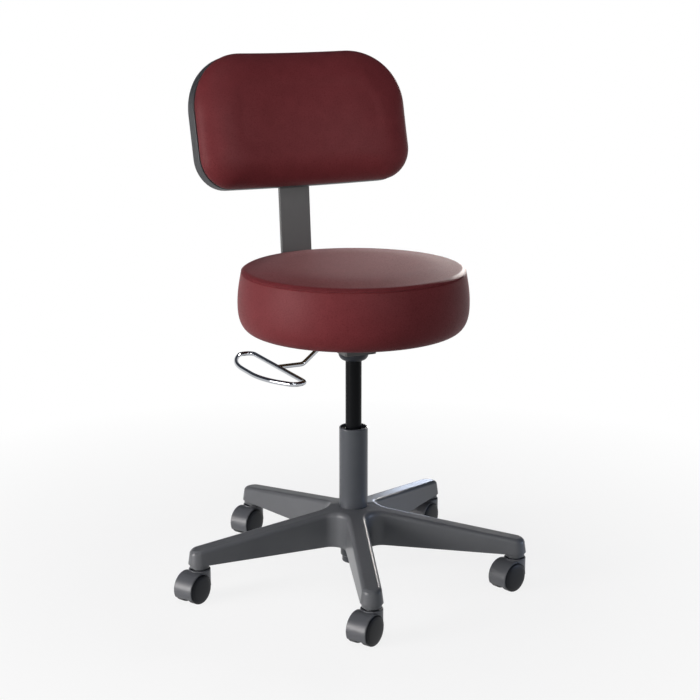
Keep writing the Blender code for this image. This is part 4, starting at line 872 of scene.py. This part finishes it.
def drill(radius, low, high, place, turn=Matrix.Identity(3)):
    """A round cutter a little wider than what goes through its hole, from low to high on its axis."""
    wide = radius + CLEARANCE
    cutter = lathe([(0, low), (wide, low), (wide, high), (0, high)], steps=48)
    return placed(cutter, place, turn)


def bolt_drill(node):
    """A cutter for an upright bolt, from its head to just past its end."""
    low, high = (np.array(corner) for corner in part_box(node))
    middle = (low + high) / 2 * (1, 1, 0)
    return drill(BOLT_RADIUS, low[2], high[2] + CLEARANCE, middle)


head_n = -SHELL_DOME - BAR_THICKNESS - 2 * CLEARANCE
back_tilt = about("X", math.pi / 2 - BACK_RECLINE)
back_bolts = [on_back(0, side * BACK_BOLT_SPACING / 2, head_n) + column for side in (-1, 1)]
back_reach = BACK_BOARD_FRONT - head_n
back_drills = [drill(BOLT_RADIUS, -PAST, back_reach, place, back_tilt) for place in back_bolts]
neck_low = socket_low + SOCKET_BOWL_HEIGHT - CLEARANCE
neck_drill = drill(SOCKET_NECK, neck_low, socket_high + PAST, column)
bar_drills = [bolt_drill("bar_bolt_1"), bolt_drill("bar_bolt_2")]

# Grey powder coat: matt enough to hide the steel's mill marks, with a pebble of 1 mm, drawn at 2 mm.
bar_coat = enamelled(
    "grey powder coat",
    ("585858", "616161"),
    roughness=0.44,
    peel_mm=2.0,
    depth_mm=0.012,
    specular=0.35,
)
bar = mesh_of("bar", placed(bar_skin(), column))
bar = combined(bar, "DIFFERENCE", neck_drill, *bar_drills, *back_drills)
fitted("bent_bar", bar, bar_coat, "seat", "bar_paint", "back_bar")

# Seat channel. Pressed from sheet steel as a hat section: its web lies on the bar, its flanges carry the
# seat board, and the lever passes through one wall.

CHANNEL_WIDTH = 0.058
CHANNEL_WALL = 0.0025
CHANNEL_FLANGE = 0.030
CHANNEL_OUTER_BEND = 0.0030
CHANNEL_INNER_BEND = 0.0006
CHANNEL_EDGE = 0.0004
BUSH_BODY = 0.0062

channel_low, channel_high = (np.array(corner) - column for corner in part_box("seat_channel"))


def channel_skin():
    """The hat section with its bends rounded, drawn out from front to rear."""
    side, far = CHANNEL_WIDTH / 2, CHANNEL_WIDTH / 2 + CHANNEL_FLANGE
    low, high = channel_low[2], channel_high[2]
    right = [
        (side, low, CHANNEL_OUTER_BEND),
        (side, high - CHANNEL_WALL, CHANNEL_INNER_BEND),
        (far, high - CHANNEL_WALL, CHANNEL_EDGE),
        (far, high, CHANNEL_EDGE),
        (side - CHANNEL_WALL, high, CHANNEL_OUTER_BEND),
        (side - CHANNEL_WALL, low + CHANNEL_WALL, CHANNEL_INNER_BEND),
    ]
    left = [(-x, z, bend) for x, z, bend in reversed(right)]
    section = np.array(right + left)
    outline = rounded(section[:, :2], section[:, 2])
    x, z = outline.T
    rows = [np.stack([x, np.full_like(x, y), z], -1) for y in (channel_low[1], channel_high[1])]
    return skin(np.stack(rows), around=True, capped=True)


pivot = np.array(joints["release_lever"]["pos_m"])
bush_drill = drill(BUSH_BODY, -PAST, PAST, pivot, about("Y", -math.pi / 2))
channel_bolts = [f"channel_bolt_{number}" for number in range(1, 5)]
channel = mesh_of("channel", placed(channel_skin(), column))
channel_drills = [bolt_drill(node) for node in channel_bolts]
channel = combined(channel, "DIFFERENCE", neck_drill, bush_drill, *bar_drills, *channel_drills)
fitted("pressed_channel", channel, frame_coat, "seat", "frame_paint", "seat_channel")

# Bolts. Zinc-plated hexagon bolts, up through the channel's flanges into the seat board, up through the
# bar into the channel, and forward through the bar and the shell into the back board.

BOLT_FLAT = 0.005
BOLT_CHAMFER = 0.0006
BOLT_FACE = 0.95
BOLT_POINTS = 72


def bolt_skin(length):
    """A hexagon head, whose radius is its half-width over the cosine of the angle from the nearest flat.

    Its outer face is chamfered to a circle, its underside lies at height 0 and its shank runs up from it.
    """
    turn = np.linspace(0, math.tau, BOLT_POINTS, endpoint=False)
    hexagon = BOLT_FLAT / np.cos((turn + math.pi / 6) % (math.pi / 3) - math.pi / 6)
    rounds = (BOLT_FLAT * BOLT_FACE, BOLT_RADIUS, 0.0)
    circle, shank, axis = (np.full(BOLT_POINTS, radius) for radius in rounds)
    radii = np.stack([axis, circle, hexagon, hexagon, shank, shank, axis])
    rises = [-BOLT_HEAD, -BOLT_HEAD, BOLT_CHAMFER - BOLT_HEAD, 0, 0, length, length]
    rises = np.array(rises)[:, None]
    grid = [radii * np.cos(turn), radii * np.sin(turn), np.broadcast_to(rises, radii.shape)]
    return skin(np.stack(grid, -1), around=True)


for node in (*channel_bolts, "bar_bolt_1", "bar_bolt_2"):
    low, high = (np.array(corner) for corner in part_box(node))
    seating = np.array([*(low + high)[:2] / 2, low[2] + BOLT_HEAD])
    bolt = mesh_of("bolt", placed(bolt_skin(high[2] - seating[2]), seating))
    fitted(f"hexagon_{node}", bolt, zinc, "seat", "zinc_plate", node)

for number, place in enumerate(back_bolts, start=1):
    node = f"back_bolt_{number}"
    bolt = mesh_of("bolt", placed(bolt_skin(back_reach), place, back_tilt))
    fitted(f"hexagon_{node}", bolt, zinc, "seat", "zinc_plate", node)

# Lever bush. A flanged bush of the same acetal, snapped into the channel's wall; its waisted hole lets the
# lever rock.

BUSH_WAIST = 0.0034
BUSH_FLANGE = 0.0082
BUSH_MOUTH = 0.0038
BUSH_HALF = 0.00155
BUSH_END = 0.00305
BUSH_ROUND = 0.0004

section = [(BUSH_WAIST, 0), (BUSH_MOUTH, -BUSH_END), (BUSH_BODY, -BUSH_END), (BUSH_BODY, BUSH_HALF)]
section += [(BUSH_FLANGE, BUSH_HALF), (BUSH_FLANGE, BUSH_END), (BUSH_MOUTH, BUSH_END)]
section = rounded(section, [0, 0, BUSH_ROUND, 0, BUSH_ROUND, BUSH_ROUND, 0])
rocker = placed(ring(section, steps=48), pivot, about("Y", -math.pi / 2))
fitted("moulded_lever_bush", mesh_of("rocker", rocker), acetal, "seat", "acetal", "lever_bush")

# Release lever. Bright chromed 8 mm wire: a cranked arm, swaged to 6 mm where it runs in the bush and over
# the valve button, welded to a D-shaped grip that lies under the rim of the seat.

WIRE = 0.004
WIRE_NECK = 0.003
NECK_TAPER = 0.004
WIRE_BEND = 0.014
LEVER_INNER_END = 0.012
LEVER_KNEE = 0.0536
LEVER_ELBOW = 0.098
LEVER_DROP = 0.036
GRIP_BAR = 0.144
GRIP_WELD = 0.0007
GRIP_HALF = 0.116
GRIP_END = 0.024
GRIP_BOW = 0.035
GRIP_BOW_BEND = 0.150
WIRE_SIDES = 24
WIRE_STEPS = 12


def wire_skin(path, upright, radius, closed=False):
    """A round wire, with a radius at each point, carried along a path in the plane square to upright."""
    if closed:
        ahead = np.roll(path, -1, 0) - np.roll(path, 1, 0)
    else:
        ahead = np.gradient(path, axis=0)
    side = np.cross(upright, ahead)
    side /= np.linalg.norm(side, axis=1)[:, None]
    turn = np.linspace(0, math.tau, WIRE_SIDES, endpoint=False)[:, None]
    round_path = np.cos(turn) * side[:, None] + np.sin(turn) * np.array(upright)
    tube = path[:, None] + radius[:, None, None] * round_path
    return skin(tube, around=True, along=closed, capped=not closed)


def lever_skins():
    """The arm in the upright plane through the column, and the grip as a flat loop at its lower end.

    The grip's bow is drawn by its tangents: an arc of chord 2 GRIP_HALF and rise GRIP_BOW has its tangents
    meet a quarter of its sweep to either side of the middle.
    """
    arm_z = pivot[2] - LEVER_DROP
    arm = [(LEVER_INNER_END, 0, pivot[2]), (-LEVER_KNEE, 0, pivot[2])]
    arm += [(-LEVER_ELBOW, 0, arm_z), (-GRIP_BAR, 0, arm_z)]
    arm = rounded(arm, [0, WIRE_BEND, WIRE_BEND, 0], WIRE_STEPS)[WIRE_STEPS:-WIRE_STEPS]
    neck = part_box("lever_bush")[0].x - column[0] - CLEARANCE
    swage = [(neck, 0, pivot[2]), (neck - NECK_TAPER, 0, pivot[2])]
    arm = np.vstack([arm[:1], swage, arm[1:]])
    arm_radius = np.interp(-arm[:, 0], [-neck, NECK_TAPER - neck], [WIRE_NECK, WIRE])
    radius = (GRIP_HALF**2 + GRIP_BOW**2) / (2 * GRIP_BOW)
    quarter = math.asin(GRIP_HALF / radius) / 2
    far = GRIP_BAR + GRIP_END + GRIP_BOW
    across = radius * math.tan(quarter)
    end = GRIP_BAR + GRIP_END
    corners = [(-GRIP_BAR, -GRIP_HALF), (-GRIP_BAR, GRIP_HALF), (-end, GRIP_HALF)]
    corners += [(-far, across), (-far, -across), (-end, -GRIP_HALF)]
    bends = [WIRE_BEND, WIRE_BEND, WIRE_BEND, GRIP_BOW_BEND, GRIP_BOW_BEND, WIRE_BEND]
    loop = rounded(corners, bends, WIRE_STEPS)
    grip = np.column_stack([loop, np.full(len(loop), arm_z - GRIP_WELD)])
    even = np.full(len(grip), WIRE)
    return wire_skin(arm, (0, 1, 0), arm_radius), wire_skin(grip, (0, 0, 1), even, closed=True)


# Chrome plate on drawn wire: a mirror, with the faint waviness of the drawn surface, drawn at 6 mm.
wavy = {"lines_mm": 6.0, "depth_mm": 0.004, "stretch": (1, 1, 1)}
chrome = brushed_metal("bright chrome plate", "B0B3B8", roughness=0.05, **wavy)
lever = mesh_of("lever", *(placed(shape, column) for shape in lever_skins()))
fitted("chromed_lever", lever, chrome, "lever", "chrome_wire", "release_lever")

# Seat board. A disc of raw birch plywood inside the seat, bored for the channel's bolts, whose face shows
# underneath within the hem.

BOARD_RADIUS = 0.173
BOARD_EDGE = 0.001
PLY_GRAIN_MM = 4.0
PLY_GRAIN_DEPTH = 0.00005

board_low, board_high = heights("seat_board")


def plywood_face():
    """Birch plywood: pale, with long grain lines 2 to 5 mm apart along X and a dry, matt surface."""
    made, tree, shader, place = new_finish("birch plywood", Roughness=0.72)
    laid = add(tree, "Mapping", {"Scale": (0.06, 1, 1)}, {"Vector": place})
    figure = {"Scale": 1000 / PLY_GRAIN_MM, "Detail": 5.0, "Distortion": 0.6}
    grain = add(tree, "TexNoise", figure, {"Vector": laid.outputs[0]})
    pair = {"data_type": "RGBA", 6: linear("A67C4F"), 7: linear("C9A274")}
    shade = add(tree, "Mix", pair, {0: grain.outputs[0]})
    bump = add(tree, "Bump", {"Distance": PLY_GRAIN_DEPTH}, {"Height": grain.outputs[0]})
    tree.links.new(shade.outputs[2], shader.inputs["Base Color"])
    tree.links.new(bump.outputs[0], shader.inputs["Normal"])
    return made


plywood = plywood_face()
corners = [(0, board_low), (BOARD_RADIUS, board_low), (BOARD_RADIUS, board_high), (0, board_high)]
disc = lathe(rounded(corners, [0, BOARD_EDGE, BOARD_EDGE, 0]), steps=120)
board = mesh_of("board", placed(disc, column))
board = combined(board, "DIFFERENCE", *channel_drills)
fitted("plywood_disc", board, plywood, "seat", "plywood", "seat_board")

# Seat cushion. Moulded foam under upholstery vinyl: a round top panel sewn to a barrelled side band, with
# a rolled rim above the seam, and the band turned under the board and stapled.

SEAT_RADIUS = 0.203
SEAT_WAIST = 0.0485
SEAT_UNDERCUT = 0.032
SEAT_ROUNDNESS = 2.5
SEAT_TOP_TUCK = 0.0078
SEAM_DROP = 0.0075
SEAM_DEPTH = 0.0022
SEAM_NOTCH = ((0.7, 0.6), (1.0, 0.45), (0.5, 0.1))
RIM_ROLL = 0.006
CROWN = 0.0015
HEM_WIDTH = 0.018
HEM_THICKNESS = 0.0014
SEAT_SWELL = 0.0012
SEAT_PRESSURE = 4.0
SEAT_MOST = 0.004
SEAM_REACH = 0.03
HOLD_MARGIN = 0.001
COVER_FIRMNESS = 60
COVER_FRAMES = 20
EMBOSS_MM = 2.0
EMBOSS_DEPTH = 0.00010
MOTTLE_MM = 26.0


def seat_outline():
    """From the middle of the board pocket round the hem, up the side, over the rim and in to the middle.

    The underside is a quarter of a superellipse, the side a parabola, the rim a quarter circle, and the
    top falls by CROWN as the fourth power of the radius. The seam is a notch with rounded lips: its
    points lie in and down by shares of its depth.
    """
    turn = np.linspace(0, math.pi / 2, 24)
    pocket = BOARD_RADIUS + CLEARANCE
    pocket_z, hem_z = board_high + CLEARANCE, seat_low + HEM_THICKNESS
    waist_z, seam_z = seat_low + SEAT_WAIST, seat_high - SEAM_DROP
    seam_radius = SEAT_RADIUS - SEAT_TOP_TUCK
    roll = seam_radius - RIM_ROLL
    power = 2 / SEAT_ROUNDNESS
    hidden = [(radius, pocket_z) for radius in np.linspace(0, pocket, 12)]
    hidden += [(pocket, hem_z), (pocket - HEM_WIDTH / 2, hem_z), (pocket - HEM_WIDTH, hem_z)]
    hidden += [(pocket - HEM_WIDTH, seat_low), (pocket - HEM_WIDTH / 2, seat_low)]
    shrink = SEAT_SWELL * np.sin(turn)
    under = [
        SEAT_RADIUS - shrink - SEAT_UNDERCUT * (1 - np.sin(turn) ** power),
        waist_z - (waist_z - seat_low) * np.cos(turn) ** power,
    ]
    rise = np.linspace(0, 1, 18)[1:]
    side = [
        SEAT_RADIUS - SEAT_SWELL * (1 - rise**4) - SEAT_TOP_TUCK * rise**2,
        waist_z + (seam_z - SEAM_DEPTH - waist_z) * rise,
    ]
    notch = (seam_radius, seam_z) - SEAM_DEPTH * np.array(SEAM_NOTCH)
    rim_turn = np.linspace(0, math.pi / 2, 9)
    rim = [
        roll + RIM_ROLL * np.cos(rim_turn),
        seat_high - CROWN - RIM_ROLL * (1 - np.sin(rim_turn)),
    ]
    inward = roll * np.linspace(1, 0, 28)[1:]
    sink = (inward / roll) ** 4
    top = [inward, seat_high - CROWN * sink - SEAT_SWELL * (1 - sink)]
    under, side, rim, top = (np.stack(part, -1) for part in (under, side, rim, top))
    return np.vstack([hidden, under, side, notch, rim, top])


def upholstery():
    """Vinyl over foam: oxblood, pebbled like hide, glossy on the pebbles, with painted shade darkening the
    creases between them.
    """
    bloom = {"Sheen_Weight": 0.05, "Sheen_Roughness": 0.4, "Sheen_Tint": linear("E8B4B8")}
    made, tree, shader, place = new_finish("embossed upholstery vinyl", Specular_IOR_Level=0.12, **bloom)
    # The emboss is about 0.8 mm across; it is drawn at 2 mm so that it shows.
    pebble = {"Scale": 1000 / EMBOSS_MM, "feature": "SMOOTH_F1", "Smoothness": 0.6, "Randomness": 1.0}
    pebbles = add(tree, "TexVoronoi", pebble, {"Vector": place})
    soft = add(tree, "TexNoise", {"Scale": 1000 / MOTTLE_MM, "Detail": 4.0}, {"Vector": place})
    pair = {"data_type": "RGBA", 6: linear("63272A"), 7: linear("733034")}
    shade = add(tree, "Mix", pair, {0: soft.outputs[0]})
    # Painted shade: the creases between the pebbles are mixed towards a darker oxblood, standing in for the
    # shade that falls in them.
    between = {"From Min": 0.35, "From Max": 0.9, "To Max": 0.35}
    crease_shade = add(tree, "MapRange", between, {"Value": pebbles.outputs[0]})
    pair = {"data_type": "RGBA", 7: linear("451415")}
    shaded_grain = add(tree, "Mix", pair, {0: crease_shade.outputs[0], 6: shade.outputs[2]})
    spread = {"To Min": 0.46, "To Max": 0.60}
    gloss = add(tree, "MapRange", spread, {"Value": pebbles.outputs[0]})
    fall = add(tree, "Math", {"operation": "MULTIPLY", 1: -1.0}, {0: pebbles.outputs[0]})
    bump = add(tree, "Bump", {"Distance": EMBOSS_DEPTH}, {"Height": fall.outputs[0]})
    tree.links.new(shaded_grain.outputs[2], shader.inputs["Base Color"])
    tree.links.new(gloss.outputs[0], shader.inputs["Roughness"])
    tree.links.new(bump.outputs[0], shader.inputs["Normal"])
    return made


def coordinates(mesh):
    """A mesh's points as rows of x, y and z."""
    points = np.empty(len(mesh.vertices) * 3)
    mesh.vertices.foreach_get("co", points)
    return points.reshape(-1, 3)


def filled(piece, held, pressure, most):
    """Blows the cover up by an even pressure with the held points pinned, as foam fills it.

    No point moves further than most, and neighbours are averaged, as foam this firm shows no small
    puckers. The result is written into the mesh.
    """
    scene = bpy.context.scene
    rest = coordinates(piece.data)
    pins = piece.vertex_groups.new(name="held")
    pins.add(np.flatnonzero(held).tolist(), 1.0, "REPLACE")
    cover = piece.modifiers.new("cover", "CLOTH")
    cover.settings.vertex_group_mass = "held"
    cover.settings.use_pressure = True
    cover.settings.uniform_pressure_force = pressure
    cover.settings.effector_weights.gravity = 0.0
    cover.collision_settings.use_collision = False
    for step in range(COVER_FRAMES):
        scene.frame_set(step + 1)
    blown = piece.evaluated_get(bpy.context.evaluated_depsgraph_get()).to_mesh()
    move = coordinates(blown) - rest
    far = np.linalg.norm(move, axis=1)[:, None]
    move *= np.minimum(1, most / np.maximum(far, 1e-9))
    edges = np.empty(len(piece.data.edges) * 2, int)
    piece.data.edges.foreach_get("vertices", edges)
    first, second = edges.reshape(-1, 2).T
    neighbours = np.bincount(edges, minlength=len(rest))[:, None]
    for _ in range(COVER_FIRMNESS):
        total = np.zeros_like(move)
        np.add.at(total, first, move[second])
        np.add.at(total, second, move[first])
        move = np.where(held[:, None], 0, (move + total / neighbours) / 2)
    piece.modifiers.remove(cover)
    piece.vertex_groups.remove(pins)
    scene.frame_set(1)
    piece.data.vertices.foreach_set("co", (rest + move).ravel())
    piece.data.update()


def softened(piece):
    """Swaps the even shading of hard pieces for one subdivision."""
    piece.modifiers.clear()
    smooth = piece.modifiers.new("smooth cover", "SUBSURF")
    smooth.levels = smooth.render_levels = 1
    piece.data.shade_smooth()


vinyl = upholstery()
cushion = mesh_of("cushion", placed(lathe(seat_outline(), steps=160), column))
seat = fitted("upholstered_seat", cushion, vinyl, "seat", "vinyl", "seat_cushion")
points = coordinates(cushion) - column
radius, rise = np.hypot(points[:, 0], points[:, 1]), points[:, 2]
in_board = (radius < BOARD_RADIUS + HOLD_MARGIN) & (rise < board_high + HOLD_MARGIN)
from_seam = np.abs(rise - seat_high + SEAM_DROP + SEAM_DEPTH / 2)
in_seam = (from_seam < SEAM_DEPTH) & (radius > SEAT_RADIUS - SEAM_REACH)
filled(seat, in_board | in_seam, SEAT_PRESSURE, SEAT_MOST)
softened(seat)

# Back shell. A lipped tray moulded in textured polypropylene, domed behind, bolted to the bar through the
# board inside it.

BACK_WIDTH = 0.424
BACK_HEIGHT = 0.242
BACK_TOP_CORNER = 0.105
BACK_BOTTOM_CORNER = 0.058
SHELL_LIP = 0.0166
SHELL_WALL = 0.003
SHELL_SHOULDER = 0.055
LIP_ROUND = 0.0012
RIM_POINTS = 192
LEAST_CORNER = 0.0002
NEARLY_ALL = 0.999


def back_outline(inset, tightening=1.0):
    """The back support's outline drawn in by an inset, as (s, h) points evenly spaced along its length.

    Its corners tighten by a share of the inset. At half the support's height it has closed to a line,
    which the points run along and back.
    """
    wide, high = BACK_WIDTH / 2 - inset, BACK_HEIGHT / 2 - inset
    share = np.arange(RIM_POINTS) / RIM_POINTS
    if high <= 0:
        return np.stack([wide * (4 * np.abs(share - 0.5) - 1), np.zeros(RIM_POINTS)], -1)
    corners = (BACK_TOP_CORNER, BACK_BOTTOM_CORNER)
    top, bottom = (max(corner - tightening * inset, LEAST_CORNER) for corner in corners)
    top, bottom = min(top, high * NEARLY_ALL), min(bottom, high * NEARLY_ALL)
    corners = [(wide, -high), (wide, high), (-wide, high), (-wide, -high)]
    path = rounded(corners, [bottom, top, top, bottom], steps=24)
    path = np.vstack([path, path[:1]])
    length = np.concatenate([[0], np.cumsum(np.linalg.norm(np.diff(path, axis=0), axis=1))])
    return np.stack([np.interp(share * length[-1], length, path[:, axis]) for axis in (0, 1)], -1)


def back_skin(levels, tightening=1.0):
    """A skin over outlines of the back support, one for each (inset, n) level, from middle to middle."""
    rows = [on_back(*back_outline(inset, tightening).T, n) for inset, n in levels]
    return skin(np.stack(rows), around=True)


def shell_levels():
    """A quarter-ellipse dome out from the flat back to the rim, the lip, and the same again inside."""
    turn = np.linspace(0, math.pi / 2, 14)
    middle = BACK_HEIGHT / 2
    flat = np.linspace(middle, SHELL_SHOULDER, 6)[:-1]
    outside = [(inset, -SHELL_DOME) for inset in flat]
    outside += [(SHELL_SHOULDER * (1 - np.sin(t)), -SHELL_DOME * np.cos(t)) for t in turn]
    lip = [(0, 0), (0, SHELL_LIP), (SHELL_WALL, SHELL_LIP), (SHELL_WALL, 0)]
    lip = rounded(lip, [0, LIP_ROUND, LIP_ROUND, 0]).reshape(4, -1, 2)[1:3]
    inside = [(SHELL_WALL + inset, SHELL_WALL + n) for inset, n in outside[:0:-1]]
    inside = [(min(inset, middle), n) for inset, n in inside] + [(middle, SHELL_WALL - SHELL_DOME)]
    return outside + [tuple(point) for point in lip.reshape(-1, 2)] + inside


# Polypropylene from an etched mould: charcoal and matt. Its leathery texture of 0.6 mm is drawn at
# 1.6 mm.
shell_shades = ("2C2D30", "36373A")
shell_plastic = moulded(
    "textured polypropylene", shell_shades, roughness=0.48, grain_mm=1.6, depth_mm=0.030
)
shell = mesh_of("shell", placed(back_skin(shell_levels()), column))
shell = combined(shell, "DIFFERENCE", *back_drills)
fitted("moulded_back_shell", shell, shell_plastic, "seat", "shell_plastic", "back_shell")
dressed(plywood, "back_board")

# Back pad. Foam under the same vinyl, drawn over the board and tucked inside the shell's lip, swelling
# over the lip to a pillowed face.

PAD_RISE = 0.047
PAD_EDGE = 0.070
PAD_ROUNDNESS = 2.35
PAD_TIGHTENING = 0.4
PAD_CROWN = 0.003
PAD_OVERHANG = -0.0006
PAD_TUCK = 0.0036
PAD_SWELL = 0.0012
PAD_PRESSURE = 4.0
PAD_MOST = 0.004


def pad_levels():
    """Flat behind, straight up inside the lip, then a quarter superellipse over the edge and a crown."""
    turn = np.linspace(0, math.pi / 2, 22)
    power = 2 / PAD_ROUNDNESS
    middle = BACK_HEIGHT / 2
    rear, lip = BACK_BOARD_FRONT + CLEARANCE, SHELL_LIP + CLEARANCE
    behind = [(inset, rear) for inset in np.linspace(middle, PAD_TUCK, 8)]
    tuck = [(PAD_TUCK, lip)]
    first = lip + SHELL_WALL
    rise = PAD_RISE - SHELL_WALL - PAD_SWELL
    along = PAD_OVERHANG + PAD_EDGE * (1 - np.cos(turn) ** power)
    edge = list(zip(along, first + rise * np.sin(turn) ** power))
    inward = np.linspace(PAD_OVERHANG + PAD_EDGE, middle, 10)[1:]
    share = (inward - PAD_OVERHANG - PAD_EDGE) / (middle - PAD_OVERHANG - PAD_EDGE)
    top = lip + PAD_RISE - PAD_SWELL + PAD_CROWN * np.sin(share * math.pi / 2)
    return behind + tuck + edge + list(zip(inward, top))


def forward_of_rim(points):
    """How far forward of the back support's rim points lie, the third of on_back's three measures."""
    y, z = points[:, 1] - BACK_BEHIND, points[:, 2] - back_z
    forward = z * math.sin(BACK_RECLINE) - y * math.cos(BACK_RECLINE)
    return BACK_CURVE - np.hypot(points[:, 0], BACK_CURVE - forward)


pad_mesh = mesh_of("pad", placed(back_skin(pad_levels(), PAD_TIGHTENING), column))
pad = fitted("upholstered_back", pad_mesh, vinyl, "seat", "vinyl", "back_pad")
held = forward_of_rim(coordinates(pad_mesh) - column) < SHELL_LIP + SHELL_WALL + HOLD_MARGIN
filled(pad, held, PAD_PRESSURE, PAD_MOST)
softened(pad)
